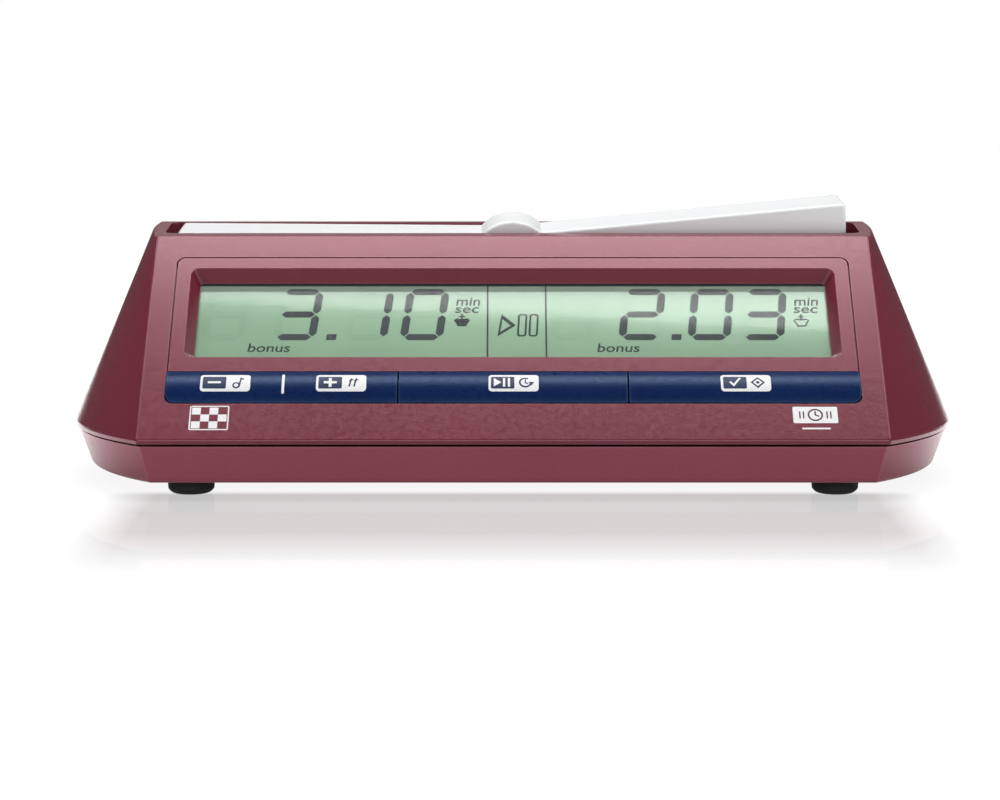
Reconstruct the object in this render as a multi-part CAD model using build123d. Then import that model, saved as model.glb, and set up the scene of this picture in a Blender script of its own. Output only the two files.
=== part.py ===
from build123d import *
from math import cos, radians, sin, sqrt, tan
import os

# Digital chess clock: a wedge-shaped case with a rocking lever on its deck.
# Millimetres. X runs along the clock, Y from front to back, Z up.
# The origin is the middle of the footprint, on the surface that the feet stand on.

# ---- Case ----------------------------------------------------------------------------------------
LENGTH = 228.0             # widest, at the belt between the two housings
DEPTH = 110.0              # front to back at the belt
END_BULGE = 21.9           # how far each curved end stands out past the straight panel
BELT_Z = 14.7              # foot of the leaning front panel
PANEL_ANGLE = 45.0         # lean of the front panel from the horizontal
PANEL_LENGTH = 66.6        # front panel, measured up its slope
DECK_TILT = 5.9            # the deck rises towards the back
DECK_FLARE = 1.9           # the deck is this much wider at the back, on each side
DECK_BULGE = 1.3           # crown of the deck's curved end edges
PANEL_WALL = 2.6
END_WALL = 2.6
BACK_WALL = 2.4
DECK_WALL = 2.4
RIM_HEIGHT = 1.1           # upright rim below the panel
EDGE_FILLET = 0.9          # outer edges of the upper housing

# ---- Base tray -----------------------------------------------------------------------------------
SEAM = 0.7                 # shadow gap between the housings
BASE_STEP = 0.8            # the tray stands back from the belt by this much
BASE_Z = 3.7               # underside of the tray
BASE_WALL = 2.2
BASE_FLOOR = 2.2
BASE_DRAFT_FRONT = 1.2     # how far the sides lean in from top to bottom
BASE_DRAFT_CORNER = 2.0
BASE_DRAFT_END = 3.4
BASE_FILLET = 1.5
LIP_HEIGHT = 1.4           # locating lip that stands inside the upper housing
LIP_WALL = 1.2
LIP_CLEARANCE = 0.25

# ---- Inset in the front panel --------------------------------------------------------------------
INSET_SIDE_MARGIN = 5.9
INSET_TOP_MARGIN = 7.25
INSET_BOTTOM_MARGIN = 11.3
INSET_RADIUS = 2.4
INSET_GAP = 0.4            # groove around the bezel
BEZEL_PLATE = 1.4          # thickness, and depth of the pocket it lies in
BEZEL_SIDE_BORDER = 3.9    # from the inset's edge to the display recess
BEZEL_TOP_BORDER = 3.75
BEZEL_BOTTOM_BORDER = 4.5
RECESS_DEPTH = 3.6
RECESS_DRAFT = 2.2         # the recess narrows by this much on each side
RECESS_RADIUS = 2.3
TUB_WALL = 1.9
TUB_CLEARANCE = 0.3

# ---- Display stack -------------------------------------------------------------------------------
GLASS_CLEARANCE = 0.15
GLASS_LEDGE = 0.1          # how far the glass pocket reaches past the recess's mouth
WINDOW_THICKNESS = 1.0
LCD_THICKNESS = 2.4
STACK_GAP = 0.1
FRAME_THICKNESS = 3.0
FRAME_BORDER = 7.0
STRIP_WIDTH = 2.2
STRIP_INSET = 2.1          # from the edge of the glass to the middle of a strip
STRIP_END_MARGIN = 12.0
BOARD_THICKNESS = 1.6
BOARD_SIDE_CLEARANCE = 2.6
BOARD_BOTTOM = 3.2         # up the slope from the foot of the panel
BOARD_BOSS_RADIUS = 2.3
BOARD_BOSS_EDGE = 5.1      # from the panel's side edge to the boss's axis
BOARD_BOSS_LOW = 5.2       # from the inset's key row up to the lower side bosses
BOARD_BOSS_HIGH = 5.5      # from the tub's top edge down to the upper side bosses
BOARD_BOSS_FOOT = 6.6      # two more bosses, up the slope from the foot of the panel
BOARD_BOSS_FOOT_X = 45.0

# ---- Keys ----------------------------------------------------------------------------------------
KEY_HEIGHT = 10.35         # slot, measured up the slope
KEY_CLEARANCE = 0.3
KEY_SPLIT_X = 28.5         # the gaps between the keys
KEY_GAP = 0.4
KEY_EDGE = 0.1             # the crown starts this far in front of the panel
KEY_CROWN = 1.2
KEY_FLANGE = 1.0
KEY_FLANGE_LAP = 1.0       # how far the flange catches behind the panel
KEY_FLANGE_GAP = 0.25
KEY_TRAVEL = 0.8
KEY_PLUNGER_RADIUS = 2.0
KEY_PLUNGER_LENGTH = 1.5
KEY_MARK_SPACING = 28.7    # between the two ends of the rocker key
ROCKER_TAB = 12.0          # length of the rocker key's flange, about its fulcrum
MEMBRANE_SHEET = 1.0
MEMBRANE_BORDER = 3.0
DOME_RADIUS = 3.4
DOME_TOP_RADIUS = 2.2
DOME_CLEARANCE = 0.2       # left between plunger and dome when the key is down
FULCRUM_WIDTH = 2.0

# ---- Lever ---------------------------------------------------------------------------------------
LEVER_END_GAP = 4.9        # from the panel's width to the lever's end
LEVER_WIDTH = 17.3
LEVER_FRONT_LIP = 4.8      # deck in front of the well
LEVER_BACK_LIP = 2.1       # deck behind the well
LEVER_SIDE_GAP = 0.4
LEVER_TOP = 2.2
LEVER_SKIRT = 2.0
LEVER_RISE = 2.94          # each arm rises from the hub by this angle
LEVER_TILT = 2.51          # swing to each side of level
LEVER_ROOT_Z = -0.62       # meeting line of the two arms, against the deck
LEVER_SKIRT_Z = -5.2       # lower edge of the skirts, lever level
LEVER_FILLET = 0.8
LEVER_CORNER = 1.1
HUB_RADIUS = 11.0
HUB_BOSS_RADIUS = 3.4
PIVOT_DEPTH = 8.0          # axis below the deck
PIN_RADIUS = 1.5
PIN_RUNNING = 0.05         # radial clearance in the hub
PIN_SEAT = 0.02            # radial clearance in the housing
PIN_GRIP = 3.6             # how far the pin enters the housing at each end
PIN_BOSS_RADIUS = 3.5
WELL_DEPTH = 12.3
WELL_END_GAP = 3.4         # past the end of the lever
WELL_RADIUS = 2.4
WELL_WALL = 1.8
WELL_FLOOR = 1.7
MAGNET_RADIUS = 3.0
MAGNET_LENGTH = 2.5
MAGNET_CUP_WALL = 1.2
MAGNET_END = 17.0          # from the lever's end
MAGNET_CLEARANCE = 0.05
MAGNET_RECESS = 0.3        # from the skirt's edge up to the cup
PAD_LENGTH = 4.0
PAD_WIDTH = 11.0
PAD_CLEARANCE = 0.3

# ---- Lever sensors -------------------------------------------------------------------------------
SENSOR_SIZE = (4.0, 3.0, 1.6)
SENSOR_GAP = 0.2
SENSOR_BOARD_WIDTH = 12.0
SENSOR_BOARD_END = 8.0     # how far the strip board runs past the sensors
SENSOR_BOARD_THICKNESS = 1.2
SENSOR_STANDOFF_X = 35.0
SENSOR_STANDOFF_RADIUS = 2.6

# ---- Screws and feet -----------------------------------------------------------------------------
SMALL_SCREW_RADIUS = 1.0
SMALL_SCREW_LENGTH = 5.0
SMALL_HEAD_RADIUS = 1.9
SMALL_HEAD_HEIGHT = 1.2
CASE_SCREW_RADIUS = 1.4
CASE_SCREW_GRIP = 8.0      # thread above the seam
CASE_HEAD_RADIUS = 2.7
CASE_HEAD_HEIGHT = 2.0
CASE_COUNTERBORE = 3.7     # from the underside up to the head's seat
HEAD_CLEARANCE = 0.3
SHANK_CLEARANCE = 0.2
THREAD_CLEARANCE = 0.03
SOCKET_DEPTH = 0.8
CASE_BOSS_RADIUS = 3.6
BASE_BOSS_RADIUS = 4.4
END_SCREW_INSET = 11.3     # from the curved end, level with the screw
END_SCREW_Y = 24.0
BACK_SCREW_INSET = 9.5     # from the back
BACK_SCREW_X = 44.0
FOOT_RADIUS = 5.8
FOOT_FLAT_RADIUS = 3.6
FOOT_SHOULDER = 2.4        # height of the foot's curved part
FOOT_POCKET = 0.7
FOOT_CLEARANCE = 0.1
FOOT_SIDE_INSET = 12.1     # from the panel's side edge
FOOT_EDGE_INSET = 12.0     # from the front and the back

# ---- Batteries -----------------------------------------------------------------------------------
CELL_RADIUS = 7.1
CELL_LENGTH = 49.2
CELL_NUB_RADIUS = 2.7
CELL_NUB_LENGTH = 1.3
CELL_SPACING = 1.4         # between the two cells
CELL_CLEARANCE = 0.7
SPRING_SPACE = 6.0
CONTACT_THICKNESS = 0.5
CONTACT_WIDTH = 9.0
COMPARTMENT_Y = 8.0        # middle of the battery compartment
COMPARTMENT_WALL = 1.8
DOOR_THICKNESS = 1.8
DOOR_CLEARANCE = 0.15
DOOR_LAP = 1.2             # closed end of the door past the compartment
DOOR_TONGUE = 1.5
DOOR_TONGUE_THICKNESS = 0.9
DOOR_SIDE = 3.0            # door past the compartment on each side
DOOR_GRIP_COUNT = 5
DOOR_GRIP_PITCH = 2.4
DOOR_GRIP_DEPTH = 0.6

# ---- Power switch --------------------------------------------------------------------------------
BUTTON_X = 66.0
BUTTON_Y = 12.0
BUTTON_RADIUS = 4.0
BUTTON_CLEARANCE = 0.25
BUTTON_PROUD = 0.5
BUTTON_FLANGE = 1.2
BUTTON_TRAVEL = 1.0
BUTTON_STEM = 1.6
SWITCH_SIZE = 6.0
SWITCH_HEIGHT = 2.6
SWITCH_GAP = 0.2           # left above the stem when the button is in
POWER_BOARD_SIZE = (26.0, 12.0)
POWER_BOSS_OFFSET = 9.5
POWER_BOSS_RADIUS = 2.6

# ---- Circuit parts -------------------------------------------------------------------------------
CHIP_SIZE = 14.0
CHIP_HEIGHT = 1.6
CHIP_X = 12.0
CHIP_UP = 33.0
CRYSTAL_SIZE = (11.0, 4.4, 3.4)
CRYSTAL_X = -12.0
CAPACITOR_RADIUS = 3.0
CAPACITOR_HEIGHT = 5.4
CAPACITOR_X = 40.0
CAPACITOR_PITCH = 9.0
BUZZER_RADIUS = 6.0
BUZZER_HEIGHT = 6.0
BUZZER_X = -52.0
BUZZER_SOUND_HOLE = 1.2

# ---- Label ---------------------------------------------------------------------------------------
LABEL_SIZE = (44.0, 34.0)
LABEL_X = -66.0
LABEL_THICKNESS = 0.15
LABEL_POCKET = 0.35
LABEL_CLEARANCE = 0.3

# ---- Values worked out from the above ------------------------------------------------------------
PANEL_HALF = LENGTH / 2 - END_BULGE
FRONT_Y = -DEPTH / 2
WELL_WIDTH = LEVER_WIDTH + 2 * LEVER_SIDE_GAP
DECK_DEPTH = LEVER_FRONT_LIP + WELL_WIDTH + LEVER_BACK_LIP
SEAM_TOP = BELT_Z - RIM_HEIGHT
SEAM_BOTTOM = SEAM_TOP - SEAM
UP_SLOPE = Vector(0, cos(radians(PANEL_ANGLE)), sin(radians(PANEL_ANGLE)))
PANEL = Plane(origin=(0, FRONT_Y, BELT_Z), x_dir=(1, 0, 0), z_dir=(0, -UP_SLOPE.Z, UP_SLOPE.Y))
DECK_BACK = Vector(0, cos(radians(DECK_TILT)), sin(radians(DECK_TILT)))
DECK_ORIGIN = PANEL.origin + UP_SLOPE * PANEL_LENGTH
DECK = Plane(origin=DECK_ORIGIN, x_dir=(1, 0, 0), z_dir=(0, -DECK_BACK.Z, DECK_BACK.Y))
KEY_SECTION = Plane(origin=PANEL.origin, x_dir=UP_SLOPE, z_dir=(1, 0, 0))

INSET_HALF = PANEL_HALF - INSET_SIDE_MARGIN
INSET_TOP = PANEL_LENGTH - INSET_TOP_MARGIN
KEY_TOP = INSET_BOTTOM_MARGIN + KEY_HEIGHT
RECESS_HALF = INSET_HALF - BEZEL_SIDE_BORDER
RECESS_LOW = KEY_TOP + BEZEL_BOTTOM_BORDER
RECESS_HIGH = INSET_TOP - BEZEL_TOP_BORDER
LCD_FRONT = -(RECESS_DEPTH + WINDOW_THICKNESS + STACK_GAP)
TUB_BACK = LCD_FRONT - LCD_THICKNESS - STACK_GAP
FRAME_BACK = TUB_BACK - FRAME_THICKNESS
BOARD_FRONT = FRAME_BACK - STACK_GAP
BOARD_BACK = BOARD_FRONT - BOARD_THICKNESS
BOARD_HALF = PANEL_HALF - BOARD_SIDE_CLEARANCE
BOARD_TOP = RECESS_HIGH + TUB_WALL - STACK_GAP
FLANGE_FRONT = -PANEL_WALL - KEY_FLANGE_GAP
FLANGE_BACK = FLANGE_FRONT - KEY_FLANGE
PLUNGER_BACK = FLANGE_BACK - KEY_PLUNGER_LENGTH
DOME_FRONT = PLUNGER_BACK - KEY_TRAVEL - DOME_CLEARANCE
MEMBRANE_FRONT = BOARD_FRONT + MEMBRANE_SHEET
ROCKER_X = -(KEY_SPLIT_X + INSET_HALF) / 2
CONFIRM_X = -ROCKER_X
KEY_MARKS = (ROCKER_X - KEY_MARK_SPACING / 2, ROCKER_X + KEY_MARK_SPACING / 2, 0.0, CONFIRM_X)

LEVER_HALF = PANEL_HALF - LEVER_END_GAP
LEVER_FRONT = LEVER_FRONT_LIP + LEVER_SIDE_GAP
LEVER_MIDDLE = LEVER_FRONT + LEVER_WIDTH / 2
WELL_HALF = LEVER_HALF + WELL_END_GAP
SKIRT_LOW = LEVER_SKIRT_Z + PIVOT_DEPTH
MAGNET_X = LEVER_HALF - MAGNET_END
PRESSED_SKIRT_Z = SKIRT_LOW * cos(radians(LEVER_TILT)) - LEVER_HALF * sin(radians(LEVER_TILT)) - PIVOT_DEPTH

CELL_PITCH = 2 * CELL_RADIUS + CELL_SPACING
CELL_Z = BASE_Z + DOOR_THICKNESS + CELL_CLEARANCE + CELL_RADIUS
COMPARTMENT_HALF = (CELL_LENGTH + CELL_NUB_LENGTH + CONTACT_THICKNESS + SPRING_SPACE) / 2
COMPARTMENT_DEPTH = CELL_PITCH + 2 * (CELL_RADIUS + CELL_CLEARANCE)
COMPARTMENT_TOP = CELL_Z + CELL_RADIUS + CELL_CLEARANCE
DOOR_HALF = COMPARTMENT_HALF + DOOR_SIDE
DOOR_FRONT = COMPARTMENT_Y - COMPARTMENT_DEPTH / 2 - DOOR_LAP
DOOR_TOP = BASE_Z + DOOR_THICKNESS
FLOOR_TOP = BASE_Z + BASE_FLOOR
POWER_BOARD_Z = FLOOR_TOP + BUTTON_FLANGE + BUTTON_STEM + BUTTON_TRAVEL + SWITCH_GAP + SWITCH_HEIGHT

END_RADIUS = ((DEPTH / 2) ** 2 + END_BULGE ** 2) / (2 * END_BULGE)
END_SCREW_X = LENGTH / 2 - END_RADIUS + sqrt(END_RADIUS ** 2 - END_SCREW_Y ** 2) - END_SCREW_INSET
CASE_SCREWS = [(side * END_SCREW_X, y) for side in (-1, 1) for y in (-END_SCREW_Y, END_SCREW_Y)]
CASE_SCREWS += [(side * BACK_SCREW_X, DEPTH / 2 - BACK_SCREW_INSET) for side in (-1, 1)]
BOARD_SCREWS = [
    (side * (PANEL_HALF - BOARD_BOSS_EDGE), up)
    for side in (-1, 1)
    for up in (KEY_TOP + BOARD_BOSS_LOW, RECESS_HIGH + TUB_WALL - BOARD_BOSS_HIGH)
]
BOARD_SCREWS += [(side * BOARD_BOSS_FOOT_X, BOARD_BOSS_FOOT) for side in (-1, 1)]
FEET = [
    (side * (PANEL_HALF - FOOT_SIDE_INSET), end * (DEPTH / 2 - FOOT_EDGE_INSET))
    for side in (-1, 1)
    for end in (-1, 1)
]

LOW = (Align.CENTER, Align.CENTER, Align.MIN)
HIGH = (Align.CENTER, Align.CENTER, Align.MAX)


# ---- Helpers -------------------------------------------------------------------------------------
def slab(plane, x, y, z):
    """Box on a plane, from its (low, high) pairs along the plane's own axes."""
    middle = Pos((x[0] + x[1]) / 2, (y[0] + y[1]) / 2, (z[0] + z[1]) / 2)
    return plane * middle * Box(x[1] - x[0], y[1] - y[0], z[1] - z[0])


def rounded_slab(plane, x, y, z, radius):
    """Box on a plane with its four upright edges rounded."""
    middle = Pos((x[0] + x[1]) / 2, (y[0] + y[1]) / 2, z[0])
    return extrude(plane * middle * RectangleRounded(x[1] - x[0], y[1] - y[0], radius), z[1] - z[0])


def rod(plane, at, radius, z):
    """Cylinder standing on a plane between two heights."""
    return plane * Pos(at[0], at[1], z[0]) * Cylinder(radius, z[1] - z[0], align=LOW)


def end_curved(plane, front, back, front_half, back_half, bulge):
    """Face with a straight front and back and two ends that bow outwards."""
    middle = (front + back) / 2
    reach = (front_half + back_half) / 2 + bulge
    outline = [
        Line((-front_half, front), (front_half, front)),
        ThreePointArc((front_half, front), (reach, middle), (back_half, back)),
        Line((back_half, back), (-back_half, back)),
        ThreePointArc((-back_half, back), (-reach, middle), (-front_half, front)),
    ]
    return plane * make_face(outline)


def inset_corner(corner, normal_a, normal_b, wall_a, wall_b):
    """Point where two walls' inner faces meet, from their outer corner and inward normals."""
    across = normal_a.Y * normal_b.Z - normal_a.Z * normal_b.Y
    y = (wall_a * normal_b.Z - wall_b * normal_a.Z) / across
    z = (wall_b * normal_a.Y - wall_a * normal_b.Y) / across
    return corner + Vector(0, y, z)


# ---- Case shapes ---------------------------------------------------------------------------------
def upper_block():
    """Outer form of the upper housing, solid: upright rim, then the sloping sides."""
    belt = Plane.XY.offset(BELT_Z)
    belt_face = end_curved(belt, FRONT_Y, -FRONT_Y, PANEL_HALF, PANEL_HALF, END_BULGE)
    deck_face = end_curved(DECK, 0, DECK_DEPTH, PANEL_HALF, PANEL_HALF + DECK_FLARE, DECK_BULGE)
    return extrude(belt_face, -RIM_HEIGHT) + loft([belt_face, deck_face], ruled=True)


def upper_cavity():
    """Inside of the upper housing, one wall in from the block and open at the rim."""
    rear = DECK_ORIGIN + DECK_BACK * DECK_DEPTH
    back_run = Vector(0, -FRONT_Y, BELT_Z) - rear
    back_in = Vector(0, back_run.Z, -back_run.Y).normalized()
    panel_in = Vector(0, UP_SLOPE.Z, -UP_SLOPE.Y)
    deck_in = Vector(0, DECK_BACK.Z, -DECK_BACK.Y)
    front_corner = inset_corner(DECK_ORIGIN, panel_in, deck_in, PANEL_WALL, DECK_WALL)
    rear_corner = inset_corner(rear, deck_in, back_in, DECK_WALL, BACK_WALL)
    ceiling = Plane(origin=front_corner, x_dir=(1, 0, 0), z_dir=DECK.z_dir)
    width = PANEL_HALF - END_WALL
    top = end_curved(ceiling, 0, (rear_corner - front_corner).length, width, width + DECK_FLARE, DECK_BULGE)
    front = FRONT_Y + PANEL_WALL / panel_in.Y
    back = -FRONT_Y + BACK_WALL / back_in.Y
    foot = end_curved(Plane.XY.offset(BELT_Z), front, back, width, width, END_BULGE)
    return extrude(foot, -2 * RIM_HEIGHT) + loft([foot, top], ruled=True)


def base_outline(z, step, draft):
    """Outline of the base tray: draft is 0 at its top edge and 1 at its underside."""
    front = FRONT_Y + step + draft * BASE_DRAFT_FRONT
    half = PANEL_HALF - step - draft * BASE_DRAFT_CORNER
    end = LENGTH / 2 - step - draft * BASE_DRAFT_END
    return end_curved(Plane.XY.offset(z), front, -front, half, half, end - half)


def base_block():
    """Outer form of the base tray, solid, with its lower edge rounded."""
    top = base_outline(SEAM_BOTTOM, BASE_STEP, 0)
    foot = base_outline(BASE_Z, BASE_STEP, 1)
    block = loft([foot, top], ruled=True)
    return fillet(block.faces().sort_by(Axis.Z)[0].edges(), BASE_FILLET)


def well_slab(margin, depth):
    """The lever's well in the deck, grown by a margin."""
    half = WELL_HALF + margin
    front = LEVER_FRONT_LIP - margin
    y = (front, front + WELL_WIDTH + 2 * margin)
    return rounded_slab(DECK, (-half, half), y, (-depth, DECK_WALL), WELL_RADIUS + margin)


def lever_plane(depth_at):
    """Upright plane across the deck at the pivot's height, facing the front of the clock."""
    origin = DECK_ORIGIN + DECK_BACK * depth_at - DECK.z_dir * PIVOT_DEPTH
    return Plane(origin=origin, x_dir=(1, 0, 0), z_dir=DECK_BACK * -1)


def pivot_rod(radius, front, back):
    """Cylinder on the lever's pivot axis between two depths along the deck."""
    return lever_plane(back) * Cylinder(radius, back - front, align=LOW)


# ---- Upper housing -------------------------------------------------------------------------------
def inset_prism(gap, z):
    """The whole inset of the front panel, shrunk by a gap."""
    x = INSET_HALF - gap
    return rounded_slab(
        PANEL, (-x, x), (INSET_BOTTOM_MARGIN + gap, INSET_TOP - gap), z, INSET_RADIUS - gap
    )


def tub_slab(margin, z):
    """The part of the bezel that reaches through the panel, grown by a margin."""
    grow = TUB_WALL + margin
    x = RECESS_HALF + grow
    return rounded_slab(PANEL, (-x, x), (RECESS_LOW - grow, RECESS_HIGH + grow), z, RECESS_RADIUS)


def panel_openings():
    """Pocket for the bezel, hole for its tub and slot for the keys."""
    pocket = inset_prism(0, (-BEZEL_PLATE, PANEL_WALL))
    tub_hole = tub_slab(TUB_CLEARANCE, (-2 * PANEL_WALL, 0))
    whole = inset_prism(0, (-2 * PANEL_WALL, PANEL_WALL))
    key_slot = whole & slab(PANEL, (-LENGTH, LENGTH), (0, KEY_TOP), (-2 * PANEL_WALL, PANEL_WALL))
    return pocket + tub_hole + key_slot


def upper_bosses():
    """Bosses for the boards and for the case screws, before they are trimmed to the case."""
    bosses = [rod(PANEL, at, BOARD_BOSS_RADIUS, (BOARD_FRONT, 0)) for at in BOARD_SCREWS]
    bosses += [rod(Plane.XY, at, CASE_BOSS_RADIUS, (SEAM_TOP, BELT_Z + PANEL_LENGTH)) for at in CASE_SCREWS]
    standoff = -WELL_DEPTH - WELL_FLOOR - SENSOR_SIZE[2] - SENSOR_GAP
    for side in (-1, 1):
        at = (side * SENSOR_STANDOFF_X, LEVER_MIDDLE)
        bosses.append(rod(DECK, at, SENSOR_STANDOFF_RADIUS, (standoff, -WELL_DEPTH)))
    return bosses


def upper_screw_holes():
    """Pilot holes in those bosses."""
    pilot = SMALL_SCREW_RADIUS + THREAD_CLEARANCE
    reach = SMALL_SCREW_LENGTH - BOARD_THICKNESS + SOCKET_DEPTH
    holes = [rod(PANEL, at, pilot, (BOARD_FRONT, BOARD_FRONT + reach)) for at in BOARD_SCREWS]
    tip = SEAM_TOP + CASE_SCREW_GRIP + SOCKET_DEPTH
    holes += [rod(Plane.XY, at, CASE_SCREW_RADIUS + THREAD_CLEARANCE, (SEAM_TOP, tip)) for at in CASE_SCREWS]
    return holes


def upper_housing():
    """Upper housing: shell, lever well, pivot bosses, screw bosses and panel openings."""
    block = upper_block()
    rounded = [edge for edge in block.edges() if edge.center().Z > BELT_Z - RIM_HEIGHT / 4]
    shell = fillet(rounded, EDGE_FILLET) - upper_cavity()
    ribs = well_slab(WELL_WALL, WELL_DEPTH + WELL_FLOOR)
    ribs += pivot_rod(PIN_BOSS_RADIUS, LEVER_FRONT_LIP - PIN_GRIP - WELL_WALL / 2, LEVER_FRONT_LIP)
    back = LEVER_FRONT_LIP + WELL_WIDTH
    ribs += pivot_rod(PIN_BOSS_RADIUS, back, back + PIN_GRIP + WELL_WALL / 2)
    for boss in upper_bosses():
        ribs += boss
    inner = upper_cavity()
    housing = shell + (ribs & inner)
    housing -= well_slab(0, WELL_DEPTH)
    housing -= pivot_rod(PIN_RADIUS + PIN_SEAT, LEVER_FRONT_LIP - PIN_GRIP, back + PIN_GRIP)
    housing -= panel_openings()
    for hole in upper_screw_holes():
        housing -= hole
    return housing


# ---- Base tray -----------------------------------------------------------------------------------
def base_screw_cuts():
    """Counterbores and shank holes for the case screws."""
    seat = BASE_Z + CASE_COUNTERBORE
    cuts = [rod(Plane.XY, at, CASE_HEAD_RADIUS + HEAD_CLEARANCE, (0, seat)) for at in CASE_SCREWS]
    cuts += [rod(Plane.XY, at, CASE_SCREW_RADIUS + SHANK_CLEARANCE, (0, BELT_Z)) for at in CASE_SCREWS]
    return cuts


def door_channel():
    """Channel under the tray that the battery door slides in, open at the back."""
    clear = DOOR_CLEARANCE
    half = DOOR_HALF + clear
    front = DOOR_FRONT - clear
    plate = slab(Plane.XY, (-half, half), (front, DEPTH), (0, DOOR_TOP + clear))
    wing = half + DOOR_TONGUE
    low = DOOR_TOP - DOOR_TONGUE_THICKNESS - clear
    return plate + slab(Plane.XY, (-wing, wing), (front, DEPTH), (low, DOOR_TOP + clear))


def compartment(margin, z):
    """Battery compartment, grown by a margin."""
    x = COMPARTMENT_HALF + margin
    y = COMPARTMENT_DEPTH / 2 + margin
    return slab(Plane.XY, (-x, x), (COMPARTMENT_Y - y, COMPARTMENT_Y + y), z)


def base_ribs():
    """Raised floor over the door, compartment walls, screw bosses and switch bosses."""
    wing = DOOR_HALF + DOOR_TONGUE + COMPARTMENT_WALL
    floor_top = DOOR_TOP + DOOR_CLEARANCE + COMPARTMENT_WALL
    ribs = slab(Plane.XY, (-wing, wing), (DOOR_FRONT - COMPARTMENT_WALL, DEPTH), (BASE_Z, floor_top))
    ribs += compartment(COMPARTMENT_WALL, (BASE_Z, COMPARTMENT_TOP + COMPARTMENT_WALL))
    for at in CASE_SCREWS:
        ribs += rod(Plane.XY, at, BASE_BOSS_RADIUS, (BASE_Z, SEAM_TOP))
    for side in (-1, 1):
        at = (BUTTON_X + side * POWER_BOSS_OFFSET, BUTTON_Y)
        ribs += rod(Plane.XY, at, POWER_BOSS_RADIUS, (BASE_Z, POWER_BOARD_Z))
    return ribs


def lower_housing():
    """Base tray with its lip, bosses, battery compartment and openings."""
    block = base_block()
    inside = BASE_STEP + BASE_WALL
    hollow = loft([base_outline(FLOOR_TOP, inside, 1), base_outline(SEAM_BOTTOM, inside, 0)], ruled=True)
    lip_step = PANEL_WALL / UP_SLOPE.Z + LIP_CLEARANCE
    lip_top = SEAM_BOTTOM + SEAM + LIP_HEIGHT - RIM_HEIGHT
    lip = extrude(base_outline(SEAM_BOTTOM - LIP_WALL, lip_step, 0), lip_top - SEAM_BOTTOM + LIP_WALL)
    lip -= extrude(base_outline(BASE_Z, lip_step + LIP_WALL, 0), BELT_Z)
    well = extrude(base_outline(BASE_Z, lip_step + LIP_WALL, 0.6), BELT_Z + LENGTH)
    tray = block - hollow + lip + (base_ribs() & (well + block))
    tray -= compartment(0, (0, COMPARTMENT_TOP))
    tray -= door_channel()
    for cut in base_screw_cuts():
        tray -= cut
    for at in FEET:
        tray -= rod(Plane.XY, at, FOOT_RADIUS + FOOT_CLEARANCE, (0, BASE_Z + FOOT_POCKET))
    tray -= rod(Plane.XY, (BUTTON_X, BUTTON_Y), BUTTON_RADIUS + BUTTON_CLEARANCE, (0, BELT_Z))
    for side in (-1, 1):
        at = (BUTTON_X + side * POWER_BOSS_OFFSET, BUTTON_Y)
        low = POWER_BOARD_Z + BOARD_THICKNESS - SMALL_SCREW_LENGTH - SOCKET_DEPTH
        tray -= rod(Plane.XY, at, SMALL_SCREW_RADIUS + THREAD_CLEARANCE, (low, POWER_BOARD_Z))
    return tray - label_slab(LABEL_CLEARANCE, (0, BASE_Z + LABEL_POCKET))


def label_slab(margin, z):
    """The underside label's place, grown by a margin."""
    x = LABEL_SIZE[0] / 2 + margin
    y = LABEL_SIZE[1] / 2 + margin
    return rounded_slab(Plane.XY, (LABEL_X - x, LABEL_X + x), (-y, y), z, 1.5 + margin)


def option_label():
    """Blank label in its shallow pocket on the underside."""
    top = BASE_Z + LABEL_POCKET
    return label_slab(0, (top - LABEL_THICKNESS, top))


def rubber_feet():
    """Four domed feet, each with a small flat to stand on."""
    top = BASE_Z + FOOT_POCKET
    shoulder = (FOOT_RADIUS, FOOT_SHOULDER)
    outline = [
        Line((0, 0), (FOOT_FLAT_RADIUS, 0)),
        JernArc((FOOT_FLAT_RADIUS, 0), (1, 0), FOOT_SHOULDER, 62),
    ]
    rim = outline[1] @ 1
    outline.append(Line(rim, shoulder))
    outline.append(Polyline(shoulder, (FOOT_RADIUS, top), (0, top), (0, 0)))
    foot = revolve(Plane.XZ * make_face(outline), Axis.Z)
    return [Pos(x, y, 0) * foot for x, y in FEET]


# ---- Display -------------------------------------------------------------------------------------
def display_bezel():
    """Inset frame: a plate with a drafted recess and a tub that holds the glass."""
    upper = slab(PANEL, (-LENGTH, LENGTH), (KEY_TOP, PANEL_LENGTH), (-BEZEL_PLATE, PANEL_WALL))
    bezel = inset_prism(INSET_GAP, (-BEZEL_PLATE, 0)) & upper
    bezel += tub_slab(0, (TUB_BACK, -BEZEL_PLATE / 2))
    middle = (RECESS_LOW + RECESS_HIGH) / 2
    width = 2 * RECESS_HALF
    height = RECESS_HIGH - RECESS_LOW
    mouth = PANEL * Pos(0, middle, 0) * RectangleRounded(width, height, RECESS_RADIUS)
    throat_place = PANEL * Pos(0, middle, -RECESS_DEPTH)
    throat = throat_place * RectangleRounded(
        width - 2 * RECESS_DRAFT, height - 2 * RECESS_DRAFT, RECESS_RADIUS / 2
    )
    bezel -= loft([throat, mouth], ruled=True)
    return bezel - glass_slab(GLASS_LEDGE, (TUB_BACK, -RECESS_DEPTH))


def glass_slab(margin, z):
    """A plate of the display stack, as large as the recess's mouth and a margin."""
    x = RECESS_HALF + margin
    return slab(PANEL, (-x, x), (RECESS_LOW - margin, RECESS_HIGH + margin), z)


def display_window():
    """Clear plate behind the recess."""
    return glass_slab(GLASS_LEDGE - GLASS_CLEARANCE, (-RECESS_DEPTH - WINDOW_THICKNESS, -RECESS_DEPTH))


def lcd_panel():
    """Liquid crystal cell behind the clear plate."""
    return glass_slab(GLASS_LEDGE - GLASS_CLEARANCE, (LCD_FRONT - LCD_THICKNESS, LCD_FRONT))


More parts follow.
